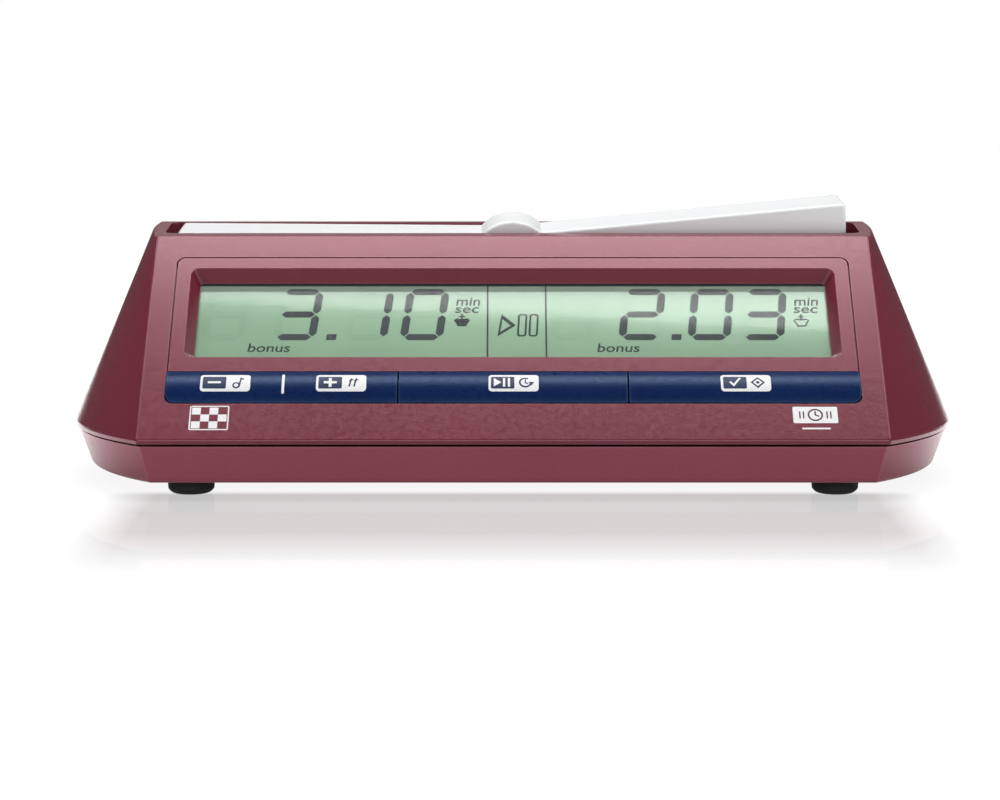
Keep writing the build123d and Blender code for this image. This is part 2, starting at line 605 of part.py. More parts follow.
def strip_slab(up, margin, z):
    """Place of one connector strip, from its middle line up the slope."""
    x = RECESS_HALF - STRIP_END_MARGIN + margin
    y = STRIP_WIDTH / 2 + margin
    return slab(PANEL, (-x, x), (up - y, up + y), z)


def strip_lines():
    """Middle lines of the two connector strips."""
    return (RECESS_LOW + STRIP_INSET, RECESS_HIGH - STRIP_INSET)


def lcd_frame():
    """Carrier that clamps the display and guides the connector strips."""
    frame = tub_slab(0, (FRAME_BACK, TUB_BACK))
    x = RECESS_HALF - FRAME_BORDER
    frame -= slab(PANEL, (-x, x), (RECESS_LOW + FRAME_BORDER, RECESS_HIGH - FRAME_BORDER), (FRAME_BACK, 0))
    for up in strip_lines():
        frame -= strip_slab(up, GLASS_CLEARANCE, (FRAME_BACK, 0))
    notch = BOARD_BOSS_RADIUS + TUB_CLEARANCE
    return frame - [rod(PANEL, at, notch, (FRAME_BACK, 0)) for at in BOARD_SCREWS[:4]]


def lcd_connector_strips():
    """Two elastomer strips between the display and the board."""
    back = LCD_FRONT - LCD_THICKNESS
    return [strip_slab(up, 0, (BOARD_FRONT, back)) for up in strip_lines()]


# ---- Keys ----------------------------------------------------------------------------------------
def key_cap(x0, x1):
    """Crowned cap between two ends."""
    low = INSET_BOTTOM_MARGIN + KEY_CLEARANCE
    high = KEY_TOP - KEY_CLEARANCE
    middle = (low + high) / 2
    section = KEY_SECTION.offset(x0)
    outline = [
        ThreePointArc((low, KEY_EDGE), (middle, KEY_EDGE + KEY_CROWN), (high, KEY_EDGE)),
        Polyline((high, KEY_EDGE), (high, FLANGE_BACK), (low, FLANGE_BACK), (low, KEY_EDGE)),
    ]
    return extrude(section * make_face(outline), x1 - x0)


def outer_cap(x0, x1, corner_x):
    """Cap with its lower corner at one end rounded to follow the inset."""
    cap = key_cap(x0, x1)
    low = cap.edges().filter_by(Axis(PANEL.origin, PANEL.z_dir)).sort_by(Axis.Z)[:2]
    return fillet(low.sort_by_distance((corner_x, FRONT_Y, BELT_Z))[:1], INSET_RADIUS - KEY_CLEARANCE)


def key_body(key, flange_x, marks):
    """Cap with the flange behind the panel and a plunger at each mark."""
    lap = (INSET_BOTTOM_MARGIN - KEY_FLANGE_LAP, KEY_TOP + KEY_FLANGE_LAP)
    key += slab(PANEL, flange_x, lap, (FLANGE_BACK, FLANGE_FRONT))
    for x in marks:
        at = (x, INSET_BOTTOM_MARGIN + KEY_HEIGHT / 2)
        key += rod(PANEL, at, KEY_PLUNGER_RADIUS, (PLUNGER_BACK, FLANGE_BACK))
    return key


def minus_plus_key():
    """Rocker key: its flange is a short tab about the fulcrum."""
    x0 = -INSET_HALF + KEY_CLEARANCE
    x1 = -KEY_SPLIT_X - KEY_GAP / 2
    tab = (ROCKER_X - ROCKER_TAB / 2, ROCKER_X + ROCKER_TAB / 2)
    return key_body(outer_cap(x0, x1, x0), tab, KEY_MARKS[:2])


def start_stop_key():
    """Middle key."""
    x = KEY_SPLIT_X - KEY_GAP / 2
    return key_body(key_cap(-x, x), (-x, x), KEY_MARKS[2:3])


def confirm_key():
    """Right key."""
    x0 = KEY_SPLIT_X + KEY_GAP / 2
    x1 = INSET_HALF - KEY_CLEARANCE
    return key_body(outer_cap(x0, x1, x1), (x0, x1), KEY_MARKS[3:])


def keypad_membrane():
    """Silicone sheet with a dome under each plunger and a rib under the rocker key."""
    edge = INSET_HALF - MEMBRANE_BORDER
    rows = (INSET_BOTTOM_MARGIN, KEY_TOP)
    sheet = slab(PANEL, (-edge, edge), rows, (BOARD_FRONT, MEMBRANE_FRONT))
    height = DOME_FRONT - MEMBRANE_FRONT
    for x in KEY_MARKS:
        place = PANEL * Pos(x, INSET_BOTTOM_MARGIN + KEY_HEIGHT / 2, MEMBRANE_FRONT)
        sheet += place * Cone(DOME_RADIUS, DOME_TOP_RADIUS, height, align=LOW)
    rib = (ROCKER_X - FULCRUM_WIDTH / 2, ROCKER_X + FULCRUM_WIDTH / 2)
    return sheet + slab(PANEL, rib, rows, (BOARD_FRONT, FLANGE_BACK - DOME_CLEARANCE))


# ---- Lever ---------------------------------------------------------------------------------------
def arm_top(x):
    """Height of the arm's top above the pivot, lever level."""
    return PIVOT_DEPTH + LEVER_ROOT_Z + abs(x) * tan(radians(LEVER_RISE))


def lever_profile():
    """Front view of the lever about its pivot, lever level."""
    end = arm_top(LEVER_HALF)
    arms = make_face(
        Polyline(
            (-LEVER_HALF, SKIRT_LOW), (LEVER_HALF, SKIRT_LOW), (LEVER_HALF, end), (0, arm_top(0)),
            (-LEVER_HALF, end), (-LEVER_HALF, SKIRT_LOW),
        )
    )
    above = Pos(0, SKIRT_LOW) * Rectangle(4 * HUB_RADIUS, 4 * HUB_RADIUS, align=(Align.CENTER, Align.MIN))
    hub = Circle(HUB_RADIUS) & above
    neck = Rectangle(2 * HUB_BOSS_RADIUS, SKIRT_LOW + 1, align=(Align.CENTER, Align.MIN))
    return arms + hub + neck + Circle(HUB_BOSS_RADIUS)


def arm_hollow(side):
    """Space under one arm, between its skirts."""
    near = HUB_RADIUS + LEVER_SKIRT
    far = LEVER_HALF - LEVER_SKIRT
    return make_face(
        Polyline(
            (side * near, 0), (side * far, 0), (side * far, arm_top(far) - LEVER_TOP),
            (side * near, arm_top(near) - LEVER_TOP), (side * near, 0),
        )
    )


def magnet_place(side):
    """Plane at a magnet's lower face, in the lever's own frame."""
    return Plane(origin=(side * MAGNET_X, SKIRT_LOW + MAGNET_RECESS, LEVER_WIDTH / 2), z_dir=(0, 1, 0))


def lever_shell():
    """Lever in its own frame: X along the arms, Y up, Z towards the front."""
    lever = extrude(lever_profile(), LEVER_WIDTH)
    corners = [e for e in lever.edges().filter_by(Axis.Z) if abs(abs(e.center().X) - LEVER_HALF) < 0.01]
    lever = fillet([e for e in corners if e.center().Y > SKIRT_LOW + 1], LEVER_CORNER)
    faces = lever.faces().sort_by(Axis.Z)
    rims = [e for face in (faces[0], faces[-1]) for e in face.edges()]
    lever = fillet([e for e in rims if e.center().Y > SKIRT_LOW + 1], LEVER_FILLET)
    for side in (-1, 1):
        hollow = Pos(0, 0, LEVER_SKIRT) * arm_hollow(side)
        lever -= extrude(hollow, LEVER_WIDTH - 2 * LEVER_SKIRT)
        cup_height = arm_top(MAGNET_X) - LEVER_TOP / 2 - SKIRT_LOW - MAGNET_RECESS
        cup = Cylinder(MAGNET_RADIUS + MAGNET_CLEARANCE + MAGNET_CUP_WALL, cup_height, align=LOW)
        cup -= Cylinder(MAGNET_RADIUS + MAGNET_CLEARANCE, MAGNET_LENGTH, align=LOW)
        lever += magnet_place(side) * cup
    return lever - Cylinder(PIN_RADIUS + PIN_RUNNING, LEVER_WIDTH, align=LOW)


def at_rest(shape):
    """Bring a shape from the lever's own frame to its place, left arm down."""
    return lever_plane(LEVER_FRONT + LEVER_WIDTH) * Rot(0, 0, LEVER_TILT) * shape


def rocker_lever():
    """Lever with its left arm down."""
    return at_rest(lever_shell())


def lever_magnets():
    """One magnet in the cup of each arm."""
    disc = Cylinder(MAGNET_RADIUS, MAGNET_LENGTH - MAGNET_CLEARANCE, align=LOW)
    return [at_rest(magnet_place(side) * disc) for side in (-1, 1)]


def lever_pivot_pin():
    """Steel pin from wall to wall of the well, through the hub."""
    back = LEVER_FRONT_LIP + WELL_WIDTH
    return pivot_rod(PIN_RADIUS, LEVER_FRONT_LIP - PIN_GRIP, back + PIN_GRIP)


def lever_stop_pads():
    """Soft pads on the well's floor, just under the pressed skirt."""
    y = (LEVER_MIDDLE - PAD_WIDTH / 2, LEVER_MIDDLE + PAD_WIDTH / 2)
    z = (-WELL_DEPTH, PRESSED_SKIRT_Z - PAD_CLEARANCE)
    pads = []
    for side in (-1, 1):
        x = sorted((side * (LEVER_HALF - PAD_LENGTH), side * LEVER_HALF))
        pads.append(slab(DECK, x, y, z))
    return pads


def lever_sensors():
    """Two magnetic sensors under the well's floor."""
    top = -WELL_DEPTH - WELL_FLOOR - SENSOR_GAP
    x, y, z = SENSOR_SIZE
    return [DECK * Pos(side * MAGNET_X, LEVER_MIDDLE, top) * Box(x, y, z, align=HIGH) for side in (-1, 1)]


def sensor_board():
    """Strip board that carries the two sensors."""
    half = MAGNET_X + SENSOR_BOARD_END
    y = (LEVER_MIDDLE - SENSOR_BOARD_WIDTH / 2, LEVER_MIDDLE + SENSOR_BOARD_WIDTH / 2)
    top = -WELL_DEPTH - WELL_FLOOR - SENSOR_SIZE[2] - SENSOR_GAP
    board = slab(DECK, (-half, half), y, (top - SENSOR_BOARD_THICKNESS, top))
    for side in (-1, 1):
        at = (side * SENSOR_STANDOFF_X, LEVER_MIDDLE)
        board -= rod(DECK, at, SMALL_SCREW_RADIUS + SHANK_CLEARANCE, (top - SENSOR_BOARD_THICKNESS, top))
    return board


# ---- Boards --------------------------------------------------------------------------------------
def main_board():
    """Main circuit board behind the display and the keys, parallel to the panel."""
    board = slab(PANEL, (-BOARD_HALF, BOARD_HALF), (BOARD_BOTTOM, BOARD_TOP), (BOARD_BACK, BOARD_FRONT))
    for at in BOARD_SCREWS:
        board -= rod(PANEL, at, SMALL_SCREW_RADIUS + SHANK_CLEARANCE, (BOARD_BACK, BOARD_FRONT))
    return board


def small_screw():
    """Pan-head screw pointing up, its head's bearing face at the origin."""
    screw = Cylinder(SMALL_SCREW_RADIUS, SMALL_SCREW_LENGTH, align=LOW)
    head = fillet(Cylinder(SMALL_HEAD_RADIUS, SMALL_HEAD_HEIGHT, align=HIGH).edges().sort_by(Axis.Z)[:1], 0.5)
    return screw + head - Pos(0, 0, -SMALL_HEAD_HEIGHT) * cross_socket(SMALL_HEAD_RADIUS)


def cross_socket(head_radius):
    """Cross recess for a screwdriver, opening downwards."""
    arm = Box(head_radius, head_radius / 4, SOCKET_DEPTH, align=LOW)
    return arm + Rot(0, 0, 90) * arm


def board_screws():
    """All the small screws: main board and power board."""
    screw = small_screw()
    screws = [PANEL * Pos(x, up, BOARD_BACK) * screw for x, up in BOARD_SCREWS]
    for side in (-1, 1):
        place = Pos(BUTTON_X + side * POWER_BOSS_OFFSET, BUTTON_Y, POWER_BOARD_Z + BOARD_THICKNESS)
        screws.append(place * Rot(180, 0, 0) * screw)
    return screws


def on_board(x, up, shape):
    """Put a shape on the back of the main board, its own Z pointing away from the board."""
    return PANEL * Pos(x, up, BOARD_BACK) * Rot(180, 0, 0) * shape


def processor_chip():
    """Flat square package."""
    body = Box(CHIP_SIZE, CHIP_SIZE, CHIP_HEIGHT, align=LOW)
    return on_board(CHIP_X, CHIP_UP, chamfer(body.edges().filter_by(Axis.Z), 0.8))


def crystal():
    """Clock crystal in its metal can."""
    x, y, z = CRYSTAL_SIZE
    return on_board(CRYSTAL_X, CHIP_UP, extrude(RectangleRounded(x, y, 0.45 * y), z))


def capacitors():
    """Two round capacitors."""
    can = Cylinder(CAPACITOR_RADIUS, CAPACITOR_HEIGHT, align=LOW)
    return [on_board(CAPACITOR_X + i * CAPACITOR_PITCH, CHIP_UP, can) for i in range(2)]


def buzzer():
    """Round buzzer with a sound hole."""
    can = Cylinder(BUZZER_RADIUS, BUZZER_HEIGHT, align=LOW)
    can -= Pos(0, 0, BUZZER_HEIGHT / 2) * Cylinder(BUZZER_SOUND_HOLE, BUZZER_HEIGHT, align=LOW)
    return on_board(BUZZER_X, CHIP_UP, can)


# ---- Batteries -----------------------------------------------------------------------------------
def cell_rows():
    """Y of each cell, and the end its positive nub points to."""
    return ((COMPARTMENT_Y - CELL_PITCH / 2, 1), (COMPARTMENT_Y + CELL_PITCH / 2, -1))


def battery_cells():
    """Two cells, head to tail."""
    cell = Cylinder(CELL_RADIUS, CELL_LENGTH, align=HIGH)
    cell = fillet(cell.edges(), 0.6) + Cylinder(CELL_NUB_RADIUS, CELL_NUB_LENGTH, align=LOW)
    tip = COMPARTMENT_HALF - CONTACT_THICKNESS - CELL_NUB_LENGTH
    return [Pos(end * tip, y, CELL_Z) * Rot(0, end * 90, 0) * cell for y, end in cell_rows()]


def battery_contacts():
    """Flat plate for each positive nub."""
    inner = (Align.MAX, Align.CENTER, Align.CENTER)
    plate = Box(CONTACT_THICKNESS, CONTACT_WIDTH, 2 * CELL_RADIUS - 2, align=inner)
    return [Pos(end * COMPARTMENT_HALF, y, CELL_Z) * Rot(0, 0, 90 - 90 * end) * plate for y, end in cell_rows()]


def battery_springs():
    """Folded leaf spring behind each negative end."""
    half = CELL_RADIUS - 1.2
    leaf = 0.4
    reach = SPRING_SPACE - leaf
    path = Polyline((leaf / 2, half), (leaf / 2, -half), (reach, 0), (reach / 2, 0.7 * half))
    face = Plane.XZ * trace(path, leaf)
    spring = Pos(0, CONTACT_WIDTH / 2, 0) * extrude(face, CONTACT_WIDTH)
    return [
        Pos(-end * COMPARTMENT_HALF, y, CELL_Z) * Rot(0, 0, 90 - 90 * end) * spring for y, end in cell_rows()
    ]


def battery_door():
    """Sliding door: a plate with side tongues, flush with the tray's underside and back."""
    plate = slab(Plane.XY, (-DOOR_HALF, DOOR_HALF), (DOOR_FRONT, DEPTH), (BASE_Z, DOOR_TOP))
    wing = DOOR_HALF + DOOR_TONGUE
    plate += slab(Plane.XY, (-wing, wing), (DOOR_FRONT, DEPTH), (DOOR_TOP - DOOR_TONGUE_THICKNESS, DOOR_TOP))
    door = plate & base_block()
    for i in range(DOOR_GRIP_COUNT):
        y = DEPTH / 2 - 2 * BASE_DRAFT_END - i * DOOR_GRIP_PITCH
        door -= slab(Plane.XY, (-12, 12), (y - 0.6, y + 0.6), (0, BASE_Z + DOOR_GRIP_DEPTH))
    return door


# ---- Power switch --------------------------------------------------------------------------------
def power_button():
    """Round button through the tray's floor, with a flange that keeps it in."""
    button = rod(Plane.XY, (0, 0), BUTTON_RADIUS, (BASE_Z - BUTTON_PROUD, FLOOR_TOP + BUTTON_FLANGE))
    button = fillet(button.edges().sort_by(Axis.Z)[:1], 0.6)
    button += rod(Plane.XY, (0, 0), BUTTON_RADIUS + 1.2, (FLOOR_TOP + 0.1, FLOOR_TOP + BUTTON_FLANGE))
    top = FLOOR_TOP + BUTTON_FLANGE + BUTTON_STEM
    return Pos(BUTTON_X, BUTTON_Y, 0) * (button + rod(Plane.XY, (0, 0), 1.6, (FLOOR_TOP, top)))


def power_switch():
    """Push switch that hangs under its board, above the button's stem."""
    low = POWER_BOARD_Z - SWITCH_HEIGHT
    body = rod(Plane.XY, (BUTTON_X, BUTTON_Y), 1.6, (low, POWER_BOARD_Z - SWITCH_HEIGHT / 2))
    place = Pos(BUTTON_X, BUTTON_Y, POWER_BOARD_Z)
    return body + place * Box(SWITCH_SIZE, SWITCH_SIZE, SWITCH_HEIGHT - 0.6, align=HIGH)


def power_board():
    """Small board that carries the power switch."""
    x, y = POWER_BOARD_SIZE
    board = Pos(BUTTON_X, BUTTON_Y, POWER_BOARD_Z) * Box(x, y, BOARD_THICKNESS, align=LOW)
    for side in (-1, 1):
        at = (BUTTON_X + side * POWER_BOSS_OFFSET, BUTTON_Y)
        top = POWER_BOARD_Z + BOARD_THICKNESS
        board -= rod(Plane.XY, at, SMALL_SCREW_RADIUS + SHANK_CLEARANCE, (POWER_BOARD_Z, top))
    return board


def housing_screws():
    """Six pan-head screws that join the two housings from below."""
    seat = BASE_Z + CASE_COUNTERBORE
    head = fillet(Cylinder(CASE_HEAD_RADIUS, CASE_HEAD_HEIGHT, align=HIGH).edges().sort_by(Axis.Z)[:1], 0.7)
    shank = Cylinder(CASE_SCREW_RADIUS, SEAM_TOP + CASE_SCREW_GRIP - seat, align=LOW)
    screw = head + shank - Pos(0, 0, -CASE_HEAD_HEIGHT) * cross_socket(CASE_HEAD_RADIUS)
    return [Pos(x, y, seat) * screw for x, y in CASE_SCREWS]


NODES = {
    "upper_housing": upper_housing,
    "lower_housing": lower_housing,
    "display_bezel": display_bezel,
    "display_window": display_window,
    "lcd_panel": lcd_panel,
    "lcd_frame": lcd_frame,
    "lcd_connector_strips": lcd_connector_strips,
    "minus_plus_key": minus_plus_key,
    "start_stop_key": start_stop_key,
    "confirm_key": confirm_key,
    "keypad_membrane": keypad_membrane,
    "rocker_lever": rocker_lever,
    "lever_magnets": lever_magnets,
    "lever_pivot_pin": lever_pivot_pin,
    "lever_stop_pads": lever_stop_pads,
    "lever_sensors": lever_sensors,
    "sensor_board": sensor_board,
    "main_board": main_board,
    "board_screws": board_screws,
    "processor_chip": processor_chip,
    "crystal": crystal,
    "capacitors": capacitors,
    "buzzer": buzzer,
    "battery_cells": battery_cells,
    "battery_contacts": battery_contacts,
    "battery_springs": battery_springs,
    "battery_door": battery_door,
    "power_button": power_button,
    "power_switch": power_switch,
    "power_board": power_board,
    "housing_screws": housing_screws,
    "rubber_feet": rubber_feet,
    "option_label": option_label,
}

os.makedirs("parts", exist_ok=True)
for name, make in NODES.items():
    shape = make()
    if isinstance(shape, list):
        shape = Compound(children=[piece.solid() for piece in shape])
    export_step(shape, f"parts/{name}.step")
    print(name, round(shape.volume, 1))
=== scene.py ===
"""Looks of the digital chess clock: finishes, display, printing, studio and camera.

Metres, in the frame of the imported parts: X along the clock, Y from front to back, Z up. Sizes of marks
are in millimetres on the face that they lie on.
"""

import logging
from dataclasses import dataclass, field
from enum import Enum
from math import cos, pi, radians, sin, sqrt
from typing import Callable, Iterable, Sequence

import bmesh
import bpy
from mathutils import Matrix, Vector


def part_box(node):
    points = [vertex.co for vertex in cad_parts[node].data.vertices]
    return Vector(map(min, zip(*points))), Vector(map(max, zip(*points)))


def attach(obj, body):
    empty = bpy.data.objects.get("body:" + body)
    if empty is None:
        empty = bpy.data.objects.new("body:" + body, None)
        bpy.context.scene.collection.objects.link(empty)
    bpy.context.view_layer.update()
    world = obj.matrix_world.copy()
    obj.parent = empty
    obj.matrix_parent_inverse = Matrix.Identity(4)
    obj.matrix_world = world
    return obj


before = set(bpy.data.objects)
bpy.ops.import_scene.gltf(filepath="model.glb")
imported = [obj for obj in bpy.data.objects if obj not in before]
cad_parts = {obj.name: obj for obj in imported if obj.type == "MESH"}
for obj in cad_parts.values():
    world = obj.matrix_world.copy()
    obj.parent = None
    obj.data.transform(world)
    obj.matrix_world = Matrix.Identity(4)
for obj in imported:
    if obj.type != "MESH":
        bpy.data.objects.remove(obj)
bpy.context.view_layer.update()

LOG = logging.getLogger("chess_clock")
MM = 0.001

Colour = tuple[float, float, float]
Point = tuple[float, float]
Loop = list[Point]


class Body(Enum):
    """The bodies of the clock that the added pieces ride on."""

    CASE = "case"
    ROCKER = "minus_plus_rocker"
    START = "start_stop_button"
    CONFIRM = "confirm_button"


class Slot(Enum):
    """Record slots passed along with the added pieces; nothing here reads them."""

    CASE = "case_plastic"
    KEY = "key_plastic"
    DISPLAY = "display_glass"
    LABEL = "label_paper"
    CONTACT = "contact_steel"


# ---- Node graphs -----------------------------------------------------------------------------------
class Graph:
    """One material's node tree, with short calls for the nodes that the finishes share."""

    def __init__(self, name: str) -> None:
        """Start an empty material.

        Args:
            name: name of the material.
        """
        self.material = bpy.data.materials.new(name)
        self.material.use_nodes = True
        self.tree = self.material.node_tree
        self.tree.nodes.clear()
        self.output = self.add("ShaderNodeOutputMaterial")
        self.place = self.add("ShaderNodeTexCoord").outputs["Object"]

    def add(self, kind: str, **settings: object) -> bpy.types.Node:
        """Add a node and set its properties.

        Args:
            kind: the node's type name.
            settings: properties to set on the node.

        Returns:
            The new node.
        """
        node = self.tree.nodes.new(kind)
        for key, value in settings.items():
            setattr(node, key, value)
        return node

    def link(self, source: bpy.types.NodeSocket, target: bpy.types.NodeSocket) -> None:
        """Join two sockets."""
        self.tree.links.new(source, target)

    def turned(self, degrees: float, stretch: Colour = (1.0, 1.0, 1.0)) -> bpy.types.NodeSocket:
        """Object position, turned about X and stretched.

        Args:
            degrees: turn about the X axis.
            stretch: scale along each axis after the turn.

        Returns:
            The vector socket.
        """
        mapping = self.add("ShaderNodeMapping")
        self.link(self.place, mapping.inputs["Vector"])
        mapping.inputs["Rotation"].default_value = (radians(degrees), 0.0, 0.0)
        mapping.inputs["Scale"].default_value = stretch
        return mapping.outputs["Vector"]

    def noise(
        self, scale: float, detail: float = 3.0, vector: bpy.types.NodeSocket | None = None
    ) -> bpy.types.NodeSocket:
        """Soft noise over the surface.

        Args:
            scale: features per metre.
            detail: octaves of finer noise.
            vector: position to use instead of the object's own.

        Returns:
            The noise's factor socket.
        """
        node = self.add("ShaderNodeTexNoise")
        self.link(vector or self.place, node.inputs["Vector"])
        node.inputs["Scale"].default_value = scale
        node.inputs["Detail"].default_value = detail
        return node.outputs["Fac"]

    def spread(
        self, value: bpy.types.NodeSocket, source: Point, target: Point = (0.0, 1.0)
    ) -> bpy.types.NodeSocket:
        """Carry a value from one range to another, held at both ends.

        Args:
            value: the socket to carry.
            source: low and high of the value.
            target: what they become.

        Returns:
            The result socket.
        """
        node = self.add("ShaderNodeMapRange")
        self.link(value, node.inputs["Value"])
        for key, number in zip(("From Min", "From Max", "To Min", "To Max"), (*source, *target)):
            node.inputs[key].default_value = number
        return node.outputs["Result"]

    def product(self, a: bpy.types.NodeSocket, b: bpy.types.NodeSocket) -> bpy.types.NodeSocket:
        """Two varying values multiplied.

        Args:
            a: first value.
            b: second value.

        Returns:
            The product's socket.
        """
        node = self.add("ShaderNodeMath", operation="MULTIPLY")
        self.link(a, node.inputs[0])
        self.link(b, node.inputs[1])
        return node.outputs[0]

    def axis(self, name: str) -> bpy.types.NodeSocket:
        """One coordinate of the object's position.

        Args:
            name: X, Y or Z.

        Returns:
            The coordinate's socket, in metres.
        """
        node = self.add("ShaderNodeSeparateXYZ")
        self.link(self.place, node.inputs[0])
        return node.outputs[name]

    def blend(
        self,
        share: bpy.types.NodeSocket,
        a: bpy.types.NodeSocket | Colour,
        b: bpy.types.NodeSocket | Colour,
    ) -> bpy.types.NodeSocket:
        """Mix two colours by a varying share.

        Args:
            share: 0 for the first colour and 1 for the second.
            a: first colour, as a socket or a plain colour.
            b: second colour.

        Returns:
            The colour socket.
        """
        node = self.add("ShaderNodeMix", data_type="RGBA")
        self.link(share, node.inputs[0])
        for socket, value in ((node.inputs[6], a), (node.inputs[7], b)):
            if isinstance(value, tuple):
                socket.default_value = (*value, 1.0)
            else:
                self.link(value, socket)
        return node.outputs[2]

    def edges(self, radius: float) -> bpy.types.NodeSocket:
        """Mask that is 1 on sharp corners and 0 on open surfaces.

        Args:
            radius: reach of the mask, in metres.

        Returns:
            The mask's socket.
        """
        bevel = self.add("ShaderNodeBevel", samples=3)
        bevel.inputs["Radius"].default_value = radius
        dot = self.add("ShaderNodeVectorMath", operation="DOT_PRODUCT")
        self.link(bevel.outputs["Normal"], dot.inputs[0])
        self.link(self.add("ShaderNodeNewGeometry").outputs["Normal"], dot.inputs[1])
        return self.spread(dot.outputs["Value"], (0.995, 0.88))

    def grazing(self) -> bpy.types.NodeSocket:
        """Gloss share that rises steeply towards a grazing view.

        Returns:
            The share's socket, 0 seen straight on and 1 seen edge on.
        """
        steep = self.add("ShaderNodeMath", operation="POWER")
        self.link(self.add("ShaderNodeLayerWeight").outputs["Facing"], steep.inputs[0])
        steep.inputs[1].default_value = GRAZING_POWER
        return steep.outputs[0]

    def relief(self, height: bpy.types.NodeSocket, depth: float) -> bpy.types.NodeSocket:
        """Fine relief from a varying height.

        Args:
            height: the varying height.
            depth: depth of the relief, in metres.

        Returns:
            The normal socket.
        """
        node = self.add("ShaderNodeBump")
        node.inputs["Strength"].default_value = 1.0
        node.inputs["Distance"].default_value = depth
        self.link(height, node.inputs["Height"])
        return node.outputs["Normal"]

    def surface(
        self,
        colour: bpy.types.NodeSocket,
        roughness: bpy.types.NodeSocket,
        normal: bpy.types.NodeSocket | None = None,
        **plain: float | tuple[float, ...],
    ) -> bpy.types.Material:
        """Close the tree with a Principled shader.

        Args:
            colour: base colour.
            roughness: roughness.
            normal: surface normal, if it has relief.
            plain: other shader inputs by name, with _ for a space, each one number or colour.

        Returns:
            The finished material.
        """
        shader = self.add("ShaderNodeBsdfPrincipled")
        self.link(colour, shader.inputs["Base Color"])
        self.link(roughness, shader.inputs["Roughness"])
        if normal is not None:
            self.link(normal, shader.inputs["Normal"])
        for key, value in plain.items():
            shader.inputs[key.replace("_", " ")].default_value = value
        self.link(shader.outputs[0], self.output.inputs["Surface"])
        return self.material


# ---- Finishes --------------------------------------------------------------------------------------
MIDDLE: Point = (0.3, 0.7)     # the middle part of a noise, where nearly all of it lies
WEAR_AND_HIGHLIGHT_REACH = 0.0007            # how far the wear and the painted edge highlight reach in from a sharp edge, in metres
GRAZING_POWER = 5.0            # how steeply a clear surface's gloss rises towards a grazing view


@dataclass(frozen=True)
class Moulded:
    """Moulded plastic or rubber: clouded colour, spark-eroded grain, edges lightened by wear and a painted
    highlight.
    """

    name: str
    colour: Colour
    shade: Colour
    # edge colour: partly wear, partly a painted highlight on sharp edges
    worn_and_highlit: Colour
    roughness: Point = (0.18, 0.27)
    grain: float = 1900.0
    relief: float = 0.000016
    speckle: float = 0.35
    wear_and_highlight: float = 0.35
    gloss: float = 0.34
    tint: Colour = (1.0, 1.0, 1.0)

    def material(self) -> bpy.types.Material:
        """Build the plastic.

        Returns:
            The finished material.
        """
        graph = Graph(self.name)
        clouds = graph.noise(34.0, 4.0)
        base = graph.blend(graph.spread(clouds, MIDDLE, (0.0, 0.3)), self.colour, self.shade)
        grain = graph.noise(self.grain, 5.0)
        dots = graph.spread(grain, (0.42, 0.66), (0.0, self.speckle))
        speckled = graph.blend(dots, base, self.shade)
        # Sharp edges are lightened towards the edge colour: partly wear, partly a painted highlight for the
        # light that sharp edges catch.
        patchy_mask = graph.product(
            graph.edges(WEAR_AND_HIGHLIGHT_REACH),
            graph.spread(graph.noise(140.0), (0.3, 0.6), (0.4 * self.wear_and_highlight, self.wear_and_highlight)),
        )
        worn_and_highlit = graph.blend(patchy_mask, speckled, self.worn_and_highlit)
        rough = graph.spread(graph.noise(700.0, 4.0), MIDDLE, self.roughness)
        shine = {"Specular_IOR_Level": self.gloss, "Specular_Tint": (*self.tint, 1.0)}
        return graph.surface(worn_and_highlit, rough, graph.relief(grain, self.relief), **shine)


@dataclass(frozen=True)
class Metal:
    """Plated or drawn metal with fine lines along one axis."""

    name: str
    colour: Colour
    tarnish: Colour
    roughness: Point = (0.22, 0.38)
    lines: Colour = (40.0, 900.0, 900.0)

    def material(self) -> bpy.types.Material:
        """Build the metal.

        Returns:
            The finished material.
        """
        graph = Graph(self.name)
        drawn = graph.noise(3.0, 4.0, graph.turned(0.0, self.lines))
        cloud = graph.noise(220.0, 5.0)
        colour = graph.blend(graph.spread(cloud, (0.35, 0.75)), self.colour, self.tarnish)
        rough = graph.spread(drawn, MIDDLE, self.roughness)
        return graph.surface(colour, rough, graph.relief(drawn, 0.00001), Metallic=1.0)


@dataclass(frozen=True)
class Display:
    """Grey-green reflective display with a fine grained backing."""

    name: str = "display_green"
    colour: Colour = (0.41, 0.56, 0.40)
    shade: Colour = (0.36, 0.50, 0.36)
    tint: Colour = (0.92, 1.0, 0.90)

    def material(self) -> bpy.types.Material:
        """Build the display's surface.

        Returns:
            The finished material.
        """
        graph = Graph(self.name)
        clouds = graph.noise(26.0, 2.0)
        base = graph.blend(graph.spread(clouds, MIDDLE), self.colour, self.shade)
        sparkle = graph.noise(4200.0, 3.0)
        colour = graph.blend(graph.spread(sparkle, (0.4, 0.7), (0.0, 0.35)), base, self.shade)
        rough = graph.spread(sparkle, MIDDLE, (0.05, 0.08))
        shine = {"Specular_IOR_Level": 1.0, "Specular_Tint": (*self.tint, 1.0)}
        return graph.surface(colour, rough, graph.relief(sparkle, 0.0000002), **shine)


